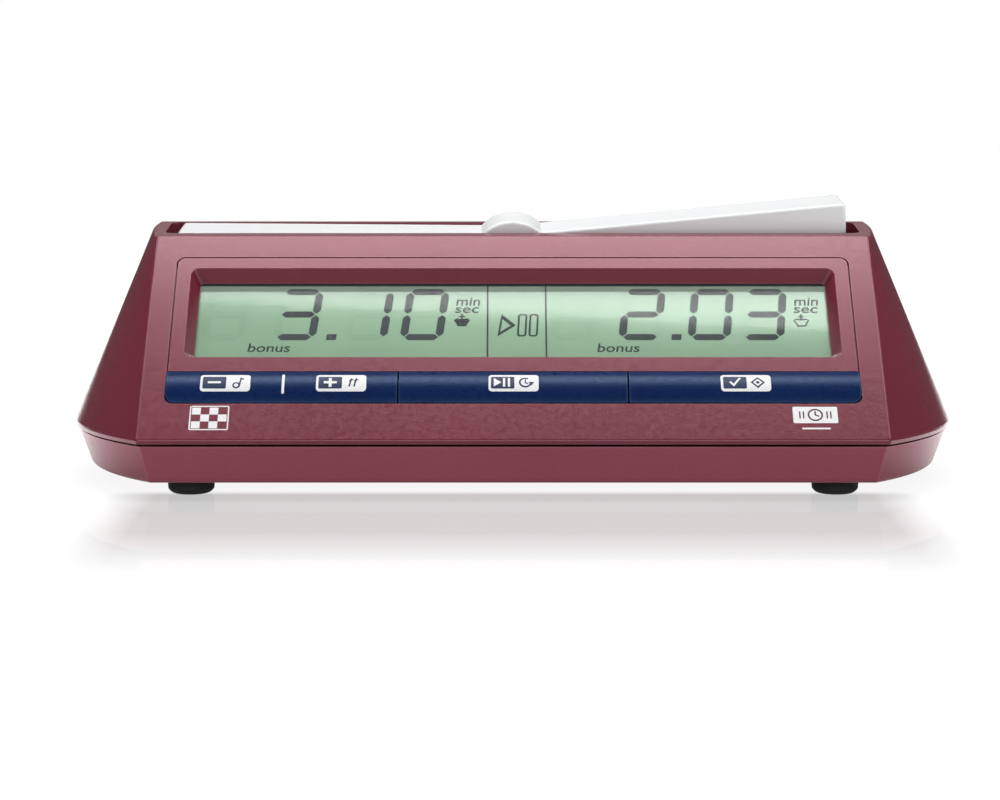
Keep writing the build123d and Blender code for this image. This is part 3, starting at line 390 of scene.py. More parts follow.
@dataclass(frozen=True)
class ClearPlate:
    """Polished clear plate: light passes straight through and the face mirrors by angle."""

    name: str = "clear_plate"
    tint: Colour = (0.95, 0.975, 0.965)
    mirror: float = 0.024

    def material(self) -> bpy.types.Material:
        """Build the clear plate.

        Returns:
            The finished material.
        """
        graph = Graph(self.name)
        clear = graph.add("ShaderNodeBsdfTransparent")
        clear.inputs["Color"].default_value = (*self.tint, 1.0)
        mirror = graph.add("ShaderNodeBsdfAnisotropic")
        wipe = graph.noise(90.0, 5.0, graph.turned(0.0, (1.0, 6.0, 1.0)))
        graph.link(graph.spread(wipe, (0.35, 0.75), (0.015, 0.07)), mirror.inputs["Roughness"])
        mix = graph.add("ShaderNodeMixShader")
        graph.link(graph.spread(graph.grazing(), (0.0, 1.0), (self.mirror, 1.0)), mix.inputs[0])
        graph.link(clear.outputs[0], mix.inputs[1])
        graph.link(mirror.outputs[0], mix.inputs[2])
        graph.link(mix.outputs[0], graph.output.inputs["Surface"])
        return graph.material


@dataclass(frozen=True)
class Ink:
    """Printed ink or a display segment: near flat, slightly uneven."""

    name: str
    colour: Colour
    thin: Colour
    roughness: Point = (0.4, 0.55)

    def material(self) -> bpy.types.Material:
        """Build the ink.

        Returns:
            The finished material.
        """
        graph = Graph(self.name)
        patch = graph.noise(900.0, 4.0)
        colour = graph.blend(graph.spread(patch, (0.35, 0.8)), self.colour, self.thin)
        rough = graph.spread(graph.noise(1500.0), MIDDLE, self.roughness)
        return graph.surface(colour, rough, graph.relief(patch, 0.000006), Specular_IOR_Level=0.3)


@dataclass(frozen=True)
class Lacquer:
    """Lacquered circuit board: tracks under a green mask, seen in the board's own plane."""

    name: str
    tilt: float
    mask: Colour = (0.012, 0.10, 0.045)
    track: Colour = (0.03, 0.19, 0.08)
    pitch: float = 0.0026

    def material(self) -> bpy.types.Material:
        """Build the board's surface.

        Returns:
            The finished material.
        """
        graph = Graph(self.name)
        flat = graph.turned(-self.tilt, (1.0 / self.pitch,) * 3)
        brick = graph.add("ShaderNodeTexBrick", offset=0.5, squash=0.6, squash_frequency=3)
        graph.link(flat, brick.inputs["Vector"])
        brick.inputs["Mortar Size"].default_value = 0.06
        brick.inputs["Scale"].default_value = 1.0
        tracks = graph.product(brick.outputs["Fac"], graph.spread(graph.noise(90.0, 2.0), (0.44, 0.5)))
        colour = graph.blend(tracks, self.mask, self.track)
        rough = graph.spread(graph.noise(400.0), MIDDLE, (0.22, 0.36))
        return graph.surface(colour, rough, graph.relief(tracks, 0.00003), Specular_IOR_Level=0.6)


@dataclass(frozen=True)
class Banded:
    """A surface banded along X: layered connector rubber or a cell's printed sleeve."""

    name: str
    dark: Colour
    light: Colour
    pitch: float
    dark_share: float
    roughness: Point = (0.35, 0.5)

    def material(self) -> bpy.types.Material:
        """Build the banded surface.

        Returns:
            The finished material.
        """
        graph = Graph(self.name)
        wave = graph.add("ShaderNodeTexWave", bands_direction="X")
        graph.link(graph.place, wave.inputs["Vector"])
        wave.inputs["Scale"].default_value = 0.314 / self.pitch
        wave.inputs["Distortion"].default_value = 0.0
        edge = self.dark_share
        band = graph.spread(wave.outputs["Fac"], (edge - 0.03, edge + 0.03))
        patchy_mask = graph.product(band, graph.spread(graph.noise(500.0, 4.0), (0.25, 0.6), (0.8, 1.0)))
        colour = graph.blend(patchy_mask, self.dark, self.light)
        rough = graph.spread(graph.noise(700.0), MIDDLE, self.roughness)
        return graph.surface(colour, rough, graph.relief(wave.outputs["Fac"], 0.00001))


@dataclass(frozen=True)
class Paper:
    """Coated label stock with a faint fibre."""

    name: str
    colour: Colour
    fibre: Colour

    def material(self) -> bpy.types.Material:
        """Build the paper.

        Returns:
            The finished material.
        """
        graph = Graph(self.name)
        threads = graph.noise(6.0, 5.0, graph.turned(0.0, (90.0, 420.0, 90.0)))
        colour = graph.blend(graph.spread(threads, (0.4, 0.75)), self.colour, self.fibre)
        rough = graph.spread(threads, MIDDLE, (0.5, 0.7))
        return graph.surface(colour, rough, graph.relief(threads, 0.00001))


WINE_SHINE = (1.0, 0.66, 0.74)
BURGUNDY = Moulded(
    "burgundy", (0.170, 0.026, 0.043), (0.130, 0.018, 0.030), (0.44, 0.17, 0.21), gloss=0.62, tint=WINE_SHINE
)
BURGUNDY_BASE = Moulded(
    "burgundy_base", (0.30, 0.070, 0.098), (0.24, 0.050, 0.074), (0.60, 0.30, 0.35),
    gloss=0.40, tint=WINE_SHINE
)
BURGUNDY_BEZEL = Moulded(
    "burgundy_bezel", (0.170, 0.025, 0.042), (0.130, 0.017, 0.029), (0.42, 0.16, 0.20),
    gloss=0.66, tint=WINE_SHINE
)
NAVY = Moulded(
    "navy_key", (0.005, 0.020, 0.090), (0.003, 0.011, 0.055), (0.09, 0.18, 0.38), roughness=(0.26, 0.38),
    grain=1300.0, relief=0.000030, speckle=0.6, gloss=0.22, tint=(0.35, 0.60, 1.0),
)
WHITE_LEVER = Moulded(
    "white_lever", (0.78, 0.795, 0.80), (0.74, 0.755, 0.765), (0.88, 0.88, 0.88), roughness=(0.30, 0.325),
    grain=2600.0, relief=0.0000004, speckle=0.05, wear_and_highlight=0.3,
)
OFF_WHITE = Moulded("off_white_frame", (0.60, 0.60, 0.57), (0.52, 0.52, 0.49), (0.7, 0.7, 0.67))
SILICONE = Moulded(
    "grey_silicone", (0.26, 0.28, 0.29), (0.20, 0.22, 0.23), (0.34, 0.36, 0.37),
    roughness=(0.55, 0.7), wear_and_highlight=0.15,
)
BLACK_RUBBER = Moulded(
    "black_rubber", (0.014, 0.014, 0.015), (0.009, 0.009, 0.010), (0.05, 0.05, 0.05), roughness=(0.6, 0.78),
    grain=1500.0, relief=0.00006, wear_and_highlight=0.5,
)
BLACK_CHIP = Moulded(
    "black_package", (0.018, 0.018, 0.019), (0.012, 0.012, 0.013), (0.09, 0.09, 0.09), roughness=(0.5, 0.62),
    grain=2600.0, relief=0.00002,
)
DARK_BUTTON = Moulded("dark_button", (0.035, 0.035, 0.040), (0.024, 0.024, 0.028), (0.14, 0.14, 0.15))
STEEL = Metal("ground_steel", (0.60, 0.60, 0.61), (0.48, 0.48, 0.50), (0.16, 0.28), (900.0, 30.0, 900.0))
ZINC = Metal("zinc_screw", (0.50, 0.51, 0.52), (0.36, 0.36, 0.36), (0.28, 0.45), (900.0, 900.0, 60.0))
NICKEL = Metal("nickel_plate", (0.72, 0.69, 0.63), (0.60, 0.57, 0.52), (0.14, 0.28))
CAN = Metal("drawn_can", (0.66, 0.67, 0.68), (0.52, 0.53, 0.55), (0.2, 0.34))
PANEL_BOARD = Lacquer("board_main", 45.0)
SENSOR_LACQUER = Lacquer("board_sensor", 5.9)
POWER_LACQUER = Lacquer("board_power", 0.0)
STRIP_RUBBER = Banded("connector_layers", (0.03, 0.03, 0.03), (0.62, 0.30, 0.36), 0.0006, 0.45)
CELL_SLEEVE = Banded("cell_sleeve", (0.012, 0.016, 0.024), (0.42, 0.43, 0.44), 0.0246, 0.93)
LABEL_PAPER = Paper("label_paper", (0.74, 0.74, 0.71), (0.62, 0.61, 0.57))
SEGMENT_INK = Ink("segment_dark", (0.030, 0.034, 0.040), (0.050, 0.055, 0.062))
FAINT_INK = Display("segment_faint", (0.385, 0.53, 0.378), (0.338, 0.473, 0.34))
LEGEND_INK = Ink("legend_dark", (0.020, 0.026, 0.024), (0.040, 0.048, 0.044))
# dark grey-blue ink for a strip of painted shadow that the bezel casts along the top of the display
BEZEL_SHADOW_INK = Ink("bezel_shadow_strip", (0.085, 0.115, 0.125), (0.11, 0.14, 0.15))
WHITE_INK = Ink("white_print", (0.86, 0.86, 0.87), (0.78, 0.78, 0.80))
NAVY_INK = Ink("navy_print", (0.010, 0.022, 0.075), (0.016, 0.032, 0.095))
WINE_INK = Ink("wine_print", (0.055, 0.010, 0.018), (0.080, 0.016, 0.026))
GREY_INK = Ink("grey_print", (0.16, 0.16, 0.17), (0.22, 0.22, 0.23))


# ---- Flat outlines ---------------------------------------------------------------------------------
def arc(centre: Point, radius: float, start: float, end: float, steps: int = 10) -> Loop:
    """Points along an arc.

    Args:
        centre: centre of the arc.
        radius: its radius.
        start: first angle, in degrees.
        end: last angle, in degrees.
        steps: number of chords.

    Returns:
        The points, both ends included.
    """
    angles = [radians(start + (end - start) * i / steps) for i in range(steps + 1)]
    return [(centre[0] + radius * cos(a), centre[1] + radius * sin(a)) for a in angles]


def box(x: Point, s: Point, radius: float = 0.0) -> Loop:
    """Rectangle, with rounded corners if it has a radius.

    Args:
        x: low and high along the clock.
        s: low and high up the face.
        radius: corner radius.

    Returns:
        The closed outline.
    """
    if not radius:
        return [(x[0], s[0]), (x[1], s[0]), (x[1], s[1]), (x[0], s[1])]
    corners = ((x[1], s[0], -90), (x[1], s[1], 0), (x[0], s[1], 90), (x[0], s[0], 180))
    loop: Loop = []
    for px, ps, start in corners:
        centre = (px + (radius if px == x[0] else -radius), ps + (radius if ps == s[0] else -radius))
        loop += arc(centre, radius, start, start + 90, 5)
    return loop


def ring(centre: Point, radius: float, width: float, squash: float = 1.0) -> list[Loop]:
    """Two loops of a ring.

    Args:
        centre: its centre.
        radius: outer radius.
        width: width of the band.
        squash: height over width.

    Returns:
        The outer and inner loops.
    """
    loops = [arc(centre, r, 0, 345, 23) for r in (radius, radius - width)]
    return [[(x, centre[1] + (s - centre[1]) * squash) for x, s in loop] for loop in loops]


def stroke(points: Sequence[Point], width: float) -> list[Loop]:
    """A line of some width through points, one square-ended bar for each run.

    Args:
        points: the line's points.
        width: its width.

    Returns:
        One loop for each run.
    """
    loops: list[Loop] = []
    for (x0, s0), (x1, s1) in zip(points, points[1:]):
        length = sqrt((x1 - x0) ** 2 + (s1 - s0) ** 2)
        dx, ds = (x1 - x0) / length * width / 2, (s1 - s0) / length * width / 2
        loops.append([
            (x0 - dx + ds, s0 - ds - dx), (x1 + dx + ds, s1 + ds - dx),
            (x1 + dx - ds, s1 + ds + dx), (x0 - dx - ds, s0 - ds + dx),
        ])
    return loops


def slanted(loop: Loop, slant: float, level: float) -> Loop:
    """Lean a loop to the right, about one level."""
    return [(x + slant * (s - level), s) for x, s in loop]


def filled(loops: Iterable[Loop]) -> bpy.types.Mesh:
    """Fill loops in the plane; a loop inside another is a hole.

    Args:
        loops: closed outlines.

    Returns:
        A flat mesh.
    """
    curve = bpy.data.curves.new("outline", "CURVE")
    curve.dimensions = "2D"
    curve.fill_mode = "BOTH"
    for loop in loops:
        spline = curve.splines.new("POLY")
        spline.points.add(len(loop) - 1)
        for point, (x, s) in zip(spline.points, loop):
            point.co = (x, s, 0.0, 1.0)
        spline.use_cyclic_u = True
    return flattened(curve)


def lettered(text: str, slant: float, weight: float) -> bpy.types.Mesh:
    """Flat plain lettering in the built-in face.

    Args:
        text: the word.
        slant: lean of the letters.
        weight: how much their strokes are thickened.

    Returns:
        A flat mesh.
    """
    curve = bpy.data.curves.new("lettering", "FONT")
    curve.body = text
    curve.shear = slant
    curve.offset = weight
    curve.resolution_u = 4
    return flattened(curve)


def flattened(curve: bpy.types.Curve) -> bpy.types.Mesh:
    """Turn a filled curve into a mesh and drop the curve.

    Args:
        curve: the filled curve.

    Returns:
        The mesh.
    """
    holder = bpy.data.objects.new("holder", curve)
    mesh = bpy.data.meshes.new_from_object(holder)
    bpy.data.objects.remove(holder)
    bpy.data.curves.remove(curve)
    return mesh


# ---- Faces and the marks laid on them --------------------------------------------------------------
CROWN_STRIP = 0.4              # marks on a crowned key are cut into strips this wide, to bend with it
SAME_SPOT = 1e-5               # points closer than this are one point


@dataclass(frozen=True)
class Face:
    """A face of the clock, with x along it, s up it and n out of it, in millimetres."""

    origin: Vector
    up: Vector
    out: Vector
    right: Vector = Vector((1.0, 0.0, 0.0))
    crown_radius: float = 0.0
    crown_middle: float = 0.0
    crown_top: float = 0.0

    def lift(self, s: float) -> float:
        """Height of the crown at s, or 0 on a flat face.

        Args:
            s: place up the face.

        Returns:
            Height out of the face.
        """
        if not self.crown_radius:
            return 0.0
        off = s - self.crown_middle
        return self.crown_top - self.crown_radius + sqrt(self.crown_radius**2 - off**2)

    def at(self, x: float, s: float, n: float) -> Vector:
        """World point at x, s and n above the surface."""
        return self.origin + (self.right * x + self.up * s + self.out * (n + self.lift(s))) * MM

    def reach(self, node: str, way: Vector) -> Point:
        """Extent of a CAD node along a direction, from this face's origin.

        Args:
            node: name of the node.
            way: the direction.

        Returns:
            Low and high in millimetres.
        """
        spots = [(v.co - self.origin).dot(way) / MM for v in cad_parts[node].data.vertices]
        return min(spots), max(spots)


@dataclass
class Layer:
    """Thin closed solids on one face, gathered into one piece."""

    face: Face
    low: float
    high: float
    verts: list[Vector] = field(default_factory=list)
    polys: list[list[int]] = field(default_factory=list)

    def lay(self, flat: bpy.types.Mesh) -> "Layer":
        """Lay a flat mesh on the face as a thin solid that follows its crown.

        Args:
            flat: the mesh, in millimetres; it is used up.

        Returns:
            This layer.
        """
        shape = bmesh.new()
        shape.from_mesh(flat)
        bpy.data.meshes.remove(flat)
        bmesh.ops.remove_doubles(shape, verts=shape.verts[:], dist=SAME_SPOT)
        if self.face.crown_radius:
            levels = [v.co.y for v in shape.verts]
            step = min(levels) + CROWN_STRIP
            while step < max(levels):
                cut = shape.verts[:] + shape.edges[:] + shape.faces[:]
                bmesh.ops.bisect_plane(shape, geom=cut, plane_co=(0, step, 0), plane_no=(0, 1, 0))
                step += CROWN_STRIP
        shape.verts.index_update()
        start, count = len(self.verts), len(shape.verts)
        for level in (self.low, self.high):
            self.verts += [self.face.at(v.co.x, v.co.y, level) for v in shape.verts]
        for poly in shape.faces:
            ids = [start + v.index for v in poly.verts]
            self.polys += [ids[::-1], [i + count for i in ids]]
            for a, b in zip(poly.loops, [loop.link_loop_next for loop in poly.loops]):
                if a.edge.is_boundary:
                    i, j = start + a.vert.index, start + b.vert.index
                    self.polys.append([i, j, j + count, i + count])
        shape.free()
        return self

    def fill(self, *loops: Loop) -> "Layer":
        """Lay filled loops; a loop inside another is a hole."""
        return self.lay(filled(loops))

    def each(self, loops: Iterable[Loop]) -> "Layer":
        """Lay every loop by itself, so that they may overlap.

        Args:
            loops: closed outlines.

        Returns:
            This layer.
        """
        for loop in loops:
            self.fill(loop)
        return self

    def write(self, text: str, x: Point, s: Point, slant: float = 0.12, weight: float = 0.012) -> "Layer":
        """Lay a word, fitted to a place.

        Args:
            text: the word.
            x: low and high along the face.
            s: low and high up the face.
            slant: lean of the letters.
            weight: how much their strokes are thickened.

        Returns:
            This layer.
        """
        flat = lettered(text, slant, weight)
        xs = [v.co.x for v in flat.vertices]
        ys = [v.co.y for v in flat.vertices]
        wide, tall = max(xs) - min(xs), max(ys) - min(ys)
        for v in flat.vertices:
            v.co.x = x[0] + (v.co.x - min(xs)) / wide * (x[1] - x[0])
            v.co.y = s[0] + (v.co.y - min(ys)) / tall * (s[1] - s[0])
        return self.lay(flat)

    def piece(self, name: str, ink: bpy.types.Material, body: Body, slot: Slot) -> bpy.types.Object:
        """Make the piece and put it on its body.

        Args:
            name: name of the piece.
            ink: its material.
            body: the body that it rides on.
            slot: not used.

        Returns:
            The new object.
        """
        return made(name, self.verts, self.polys, ink, body)


def made(
    name: str,
    verts: Sequence[Vector],
    polys: Sequence[Sequence[int]],
    finish: bpy.types.Material,
    body: Body,
) -> bpy.types.Object:
    """Make a mesh object, its faces turned outwards, and set it riding.

    Args:
        name: name of the piece.
        verts: its points, in metres.
        polys: its faces.
        finish: its material.
        body: the body that it rides on.

    Returns:
        The new object.
    """
    mesh = bpy.data.meshes.new(name)
    mesh.from_pydata([tuple(v) for v in verts], [], [list(p) for p in polys])
    shape = bmesh.new()
    shape.from_mesh(mesh)
    bmesh.ops.recalc_face_normals(shape, faces=shape.faces[:])
    for poly in shape.faces:
        poly.smooth = False
    shape.to_mesh(mesh)
    shape.free()
    mesh.materials.append(finish)
    piece = bpy.data.objects.new(name, mesh)
    bpy.context.scene.collection.objects.link(piece)
    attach(piece, body.value)
    return piece


def dress(finish: bpy.types.Material, *nodes: str) -> None:
    """Give CAD nodes a finish.

    Args:
        finish: the material.
        nodes: names of the nodes.
    """
    for node in nodes:
        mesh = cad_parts[node].data
        mesh.materials.clear()
        mesh.materials.append(finish)
        LOG.info("dressed %s in %s", node, finish.name)


PANEL_LEAN = radians(45.0)
PANEL = Face(
    origin=Vector((0.0, -0.055, 0.0147)),
    up=Vector((0.0, cos(PANEL_LEAN), sin(PANEL_LEAN))),
    out=Vector((0.0, -sin(PANEL_LEAN), cos(PANEL_LEAN))),
)
KEY_CROWN = Face(PANEL.origin, PANEL.up, PANEL.out, crown_radius=10.5, crown_middle=16.475, crown_top=1.3)


# ---- Sub-assemblies --------------------------------------------------------------------------------
@dataclass
class Housing:
    """Both housings, the feet and the two plain marks on the panel."""

    mark_low: float = 0.0
    mark_high: float = 0.03
    board_left: float = -79.0
    board_bottom: float = 3.6
    square: float = 2.15
    columns: int = 4
    rows: int = 3
    tile_x: Point = (68.7, 79.7)
    tile_s: Point = (5.2, 10.3)
    frame_gap: Point = (0.22, 0.55)
    rule_inset: float = 2.0
    rule_s: Point = (3.3, 3.8)
    dial_radius: float = 1.9
    tick: Point = (0.17, 1.1)
    tick_steps: Point = (2.9, 3.8)

    def build(self) -> list[bpy.types.Object]:
        """Dress the housings and print the marks.

        Returns:
            The added pieces.
        """
        dress(BURGUNDY.material(), "upper_housing")
        dress(BURGUNDY_BASE.material(), "lower_housing")
        dress(BLACK_RUBBER.material(), "rubber_feet", "lever_stop_pads")
        white = WHITE_INK.material()
        return [self.chequers(white), self.tile(white), self.dial()]

    def chequers(self, white: bpy.types.Material) -> bpy.types.Object:
        """Print a small chequered board on the left.

        Args:
            white: the white ink.

        Returns:
            The piece.
        """
        layer = Layer(PANEL, self.mark_low, self.mark_high)
        for row in range(self.rows):
            for column in range(self.columns):
                x = self.board_left + column * self.square
                s = self.board_bottom + row * self.square
                if (row + column) % 2 == 0:
                    layer.fill(box((x, x + self.square), (s, s + self.square)))
        right = self.board_left + self.columns * self.square
        top = self.board_bottom + self.rows * self.square
        inner, outer = (
            box((self.board_left - gap, right + gap), (self.board_bottom - gap, top + gap), radius)
            for gap, radius in zip(self.frame_gap, (0.0, 0.5))
        )
        layer.fill(outer, inner)
        return layer.piece("panel_chequer_mark", white, Body.CASE, Slot.CASE)

    def tile(self, white: bpy.types.Material) -> bpy.types.Object:
        """Print the white tile on the right, with a short rule beneath it.

        Args:
            white: the white ink.

        Returns:
            The piece.
        """
        layer = Layer(PANEL, self.mark_low, self.mark_high)
        layer.fill(box(self.tile_x, self.tile_s, 0.35))
        low, high = self.tile_x
        layer.fill(box((low + self.rule_inset, high - self.rule_inset), self.rule_s, 0.2))
        return layer.piece("panel_white_tile", white, Body.CASE, Slot.CASE)

    def dial(self) -> bpy.types.Object:
        """Print a plain dial with two hands and a row of ticks on the tile.

        Returns:
            The piece.
        """
        layer = Layer(PANEL, self.mark_high, self.mark_high + 0.03)
        x, s = sum(self.tile_x) / 2, sum(self.tile_s) / 2
        layer.fill(*ring((x, s), self.dial_radius, 0.42))
        layer.each(stroke([(x, s + 1.0), (x, s), (x + 0.75, s - 0.35)], 0.36))
        half, tall = self.tick
        for side in (-1, 1):
            for step in self.tick_steps:
                at = x + side * step
                layer.fill(box((at - half, at + half), (s - tall, s + tall)))
        return layer.piece("panel_dial_mark", WINE_INK.material(), Body.CASE, Slot.CASE)


@dataclass
class DisplayStack:
    """Bezel, clear plate, display and everything that the display shows."""

    middle: float = 44.0
    half_step: float = 7.5
    digit_width: float = 8.95
    bar: float = 2.0
    gap: float = 0.22
    slant: float = 0.105
    left_digits: tuple[tuple[str, float], ...] = (("3", -54.65), ("1", -36.55), ("0", -22.4))
    right_digits: tuple[tuple[str, float], ...] = (("2", 33.0), ("0", 50.5), ("3", 64.05))
    unlit: tuple[float, ...] = (-72.9, -54.65, -36.55, -22.4, 15.6, 33.0, 50.5, 64.05)
    points: tuple[float, ...] = (-46.0, 41.45)
    point_half: Point = (1.25, 0.95)
    dividers: tuple[float, ...] = (-6.42, 8.45)
    divider_half: float = 0.22
    divider_margin: float = 2.0
    unit_x: Point = (-14.5, 71.9)
    unit_width: float = 6.2
    minutes_s: Point = (46.95, 49.75)
    seconds_s: Point = (44.45, 46.45)
    seconds_shift: float = -0.25
    bonus_x: Point = (-67.0, 21.3)
    bonus_width: float = 10.7
    bonus_s: Point = (31.6, 34.4)
    pause_x: Point = (1.0, 3.9)
    crown_places: tuple[Point, Point] = ((-12.95, 40.1), (73.4, 40.0))
    crown_line: float = 0.42
    shadow_margin: float = 1.0
    shadow_band: Point = (2.15, 0.6)
    layer_step: float = 0.015
    layer_depth: float = 0.02
    front: float = field(init=False)
    low: float = field(init=False)
    high: float = field(init=False)
    segments: dict[str, str] = field(
        default_factory=lambda: {"0": "ABCDEF", "1": "BC", "2": "ABGED", "3": "ABGCD", "8": "ABCDEFG"}
    )

    def build(self) -> list[bpy.types.Object]:
        """Dress the display stack and lay the segments and legends.

        Returns:
            The added pieces.
        """
        dress(BURGUNDY_BEZEL.material(), "display_bezel")
        dress(ClearPlate().material(), "display_window")
        dress(Display().material(), "lcd_panel")
        dress(OFF_WHITE.material(), "lcd_frame")
        dress(STRIP_RUBBER.material(), "lcd_connector_strips")
        self.front = PANEL.reach("lcd_panel", PANEL.out)[1]
        self.low, self.high = PANEL.reach("lcd_panel", PANEL.up)
        dark = SEGMENT_INK.material()
        legend = LEGEND_INK.material()
        return [
            self.digits("left_time", self.left_digits, self.points[:1], dark),
            self.digits("right_time", self.right_digits, self.points[1:], dark),
            self.faint_digits(),
            self.divider_lines(legend),
            self.legends(legend),
            self.play_pause(legend),
            self.crowns(legend),
            self.bezel_shadow_strip(),
        ]

    def layer(self, step: int = 1) -> Layer:
        """A thin layer on the display's front.

        Args:
            step: which layer up from the glass.

        Returns:
            The empty layer.
        """
        foot = self.front + self.layer_step * step
        return Layer(PANEL, foot, foot + self.layer_depth)

    def segment(self, letter: str, x: float) -> Loop:
        """One pointed segment of a digit.

        Args:
            letter: A to G, clockwise from the top, with G across the middle.
            x: middle of the digit.

        Returns:
            The slanted outline.
        """
        w, h, t = self.digit_width / 2, self.half_step, self.bar / 2
        ends = {
            "A": ((-w, h), (w, h)), "B": ((w, h), (w, 0.0)), "C": ((w, 0.0), (w, -h)),
            "D": ((-w, -h), (w, -h)), "E": ((-w, 0.0), (-w, -h)), "F": ((-w, h), (-w, 0.0)),
            "G": ((-w, 0.0), (w, 0.0)),
        }
        (x0, s0), (x1, s1) = ends[letter]
        if s0 == s1:
            a, b = x0 + self.gap, x1 - self.gap
            loop = [(a, s0), (a + t, s0 - t), (b - t, s0 - t), (b, s0), (b - t, s0 + t), (a + t, s0 + t)]
        else:
            a, b = min(s0, s1) + self.gap, max(s0, s1) - self.gap
            loop = [(x0, a), (x0 + t, a + t), (x0 + t, b - t), (x0, b), (x0 - t, b - t), (x0 - t, a + t)]
        return slanted([(x + px, self.middle + ps) for px, ps in loop], self.slant, self.middle)

    def digits(
        self, name: str, digits: Sequence[tuple[str, float]], points: Sequence[float], ink: bpy.types.Material
    ) -> bpy.types.Object:
        """Lay one time reading.

        Args:
            name: name of the piece.
            digits: each figure and the middle of its place.
            points: middles of the decimal points.
            ink: the segments' material.

        Returns:
            The piece.
        """
        layer = self.layer()
        for figure, x in digits:
            layer.each(self.segment(letter, x) for letter in self.segments[figure])
        level = self.middle - self.half_step
        half, tall = self.point_half
        for x in points:
            layer.fill(slanted(box((x - half, x + half), (level - tall, level + tall)), self.slant, level))
        return layer.piece(name, ink, Body.CASE, Slot.DISPLAY)

    def faint_digits(self) -> bpy.types.Object:
        """Lay the segments that aren't lit, just visible in the glass.

        Returns:
            The piece.
        """
        layer = self.layer(0)
        lit = dict((x, figure) for figure, x in (*self.left_digits, *self.right_digits))
        for x in self.unlit:
            shown = self.segments.get(lit.get(x, ""), "")
            layer.each(self.segment(letter, x) for letter in "ABCDEFG" if letter not in shown)
        return layer.piece("unlit_segments", FAINT_INK.material(), Body.CASE, Slot.DISPLAY)

    def divider_lines(self, ink: bpy.types.Material) -> bpy.types.Object:
        """Lay the two lines that set off the middle field.

        Args:
            ink: their material.

        Returns:
            The piece.
        """
        layer = self.layer()
        for x in self.dividers:
            sides = (x - self.divider_half, x + self.divider_half)
            layer.fill(box(sides, (self.low + self.divider_margin, self.high - self.divider_margin)))
        return layer.piece("field_dividers", ink, Body.CASE, Slot.DISPLAY)

    def legends(self, ink: bpy.types.Material) -> bpy.types.Object:
        """Lay the small words beside and below the figures.

        Args:
            ink: their material.

        Returns:
            The piece.
        """
        layer = self.layer()
        for x in self.unit_x:
            layer.write("min", (x, x + self.unit_width), self.minutes_s)
            left = x + self.seconds_shift
            layer.write("sec", (left, left + self.unit_width), self.seconds_s)
        for x in self.bonus_x:
            layer.write("bonus", (x, x + self.bonus_width), self.bonus_s)
        return layer.piece("display_legends", ink, Body.CASE, Slot.DISPLAY)

    def play_pause(self, ink: bpy.types.Material) -> bpy.types.Object:
        """Lay the outlined play mark and the two outlined pause bars.

        Args:
            ink: their material.

        Returns:
            The piece.
        """
        layer = self.layer()
        layer.fill([(-3.95, 36.7), (0.75, 40.4), (-2.85, 44.1)], [(-3.2, 38.2), (-0.55, 40.3), (-2.6, 42.5)])
        for x in self.pause_x:
            outer = box((x, x + 2.4), (36.7, 44.15), 0.8)
            inner = box((x + 0.5, x + 1.9), (37.2, 43.65), 0.4)
            layer.fill(slanted(outer, 0.05, 36.7), slanted(inner, 0.05, 36.7))
        return layer.piece("play_pause_mark", ink, Body.CASE, Slot.DISPLAY)

    def crown_loop(self, x: float, s: float, grow: float) -> Loop:
        """Outline of a small crown with a foot.

        Args:
            x: its middle.
            s: its foot.
            grow: added to its width and height on every side.

        Returns:
            The closed outline.
        """
        low = [(1.15, -grow), (1.35 + grow, 0.75), (2.1 + grow, 2.0)]
        half = low + [(1.25, 2.65 + grow), (0.45, 2.45 + grow)]
        return [(x + px, s + ps) for px, ps in half] + [(x - px, s + ps) for px, ps in reversed(half)]

    def crowns(self, ink: bpy.types.Material) -> bpy.types.Object:
        """Lay a filled crown in the left field and an outlined one in the right.

        Args:
            ink: their material.

        Returns:
            The piece.
        """
        layer = self.layer()
        for x, s in self.crown_places:
            layer.each(stroke([(x, s + 2.3), (x, s + 3.9)], 0.45))
            layer.each(stroke([(x - 0.6, s + 3.2), (x + 0.6, s + 3.2)], 0.4))
        left, right = self.crown_places
        layer.fill(self.crown_loop(*left, 0.0))
        layer.fill(self.crown_loop(*right, 0.0), self.crown_loop(*right, -self.crown_line))
        return layer.piece("side_crowns", ink, Body.CASE, Slot.DISPLAY)

    def bezel_shadow_strip(self) -> bpy.types.Object:
        """Lay a grey-blue strip of painted bezel shadow along the top of the view.

        Returns:
            The piece.
        """
        low, high = PANEL.reach("lcd_panel", PANEL.right)
        layer = self.layer()
        down, up = self.shadow_band
        margin = self.shadow_margin
        # painted shadow of the bezel, laid as a dark strip below the display's top edge
        layer.fill(box((low + margin, high - margin), (self.high - down, self.high - up)))
        return layer.piece("painted_bezel_shadow", BEZEL_SHADOW_INK.material(), Body.CASE, Slot.DISPLAY)


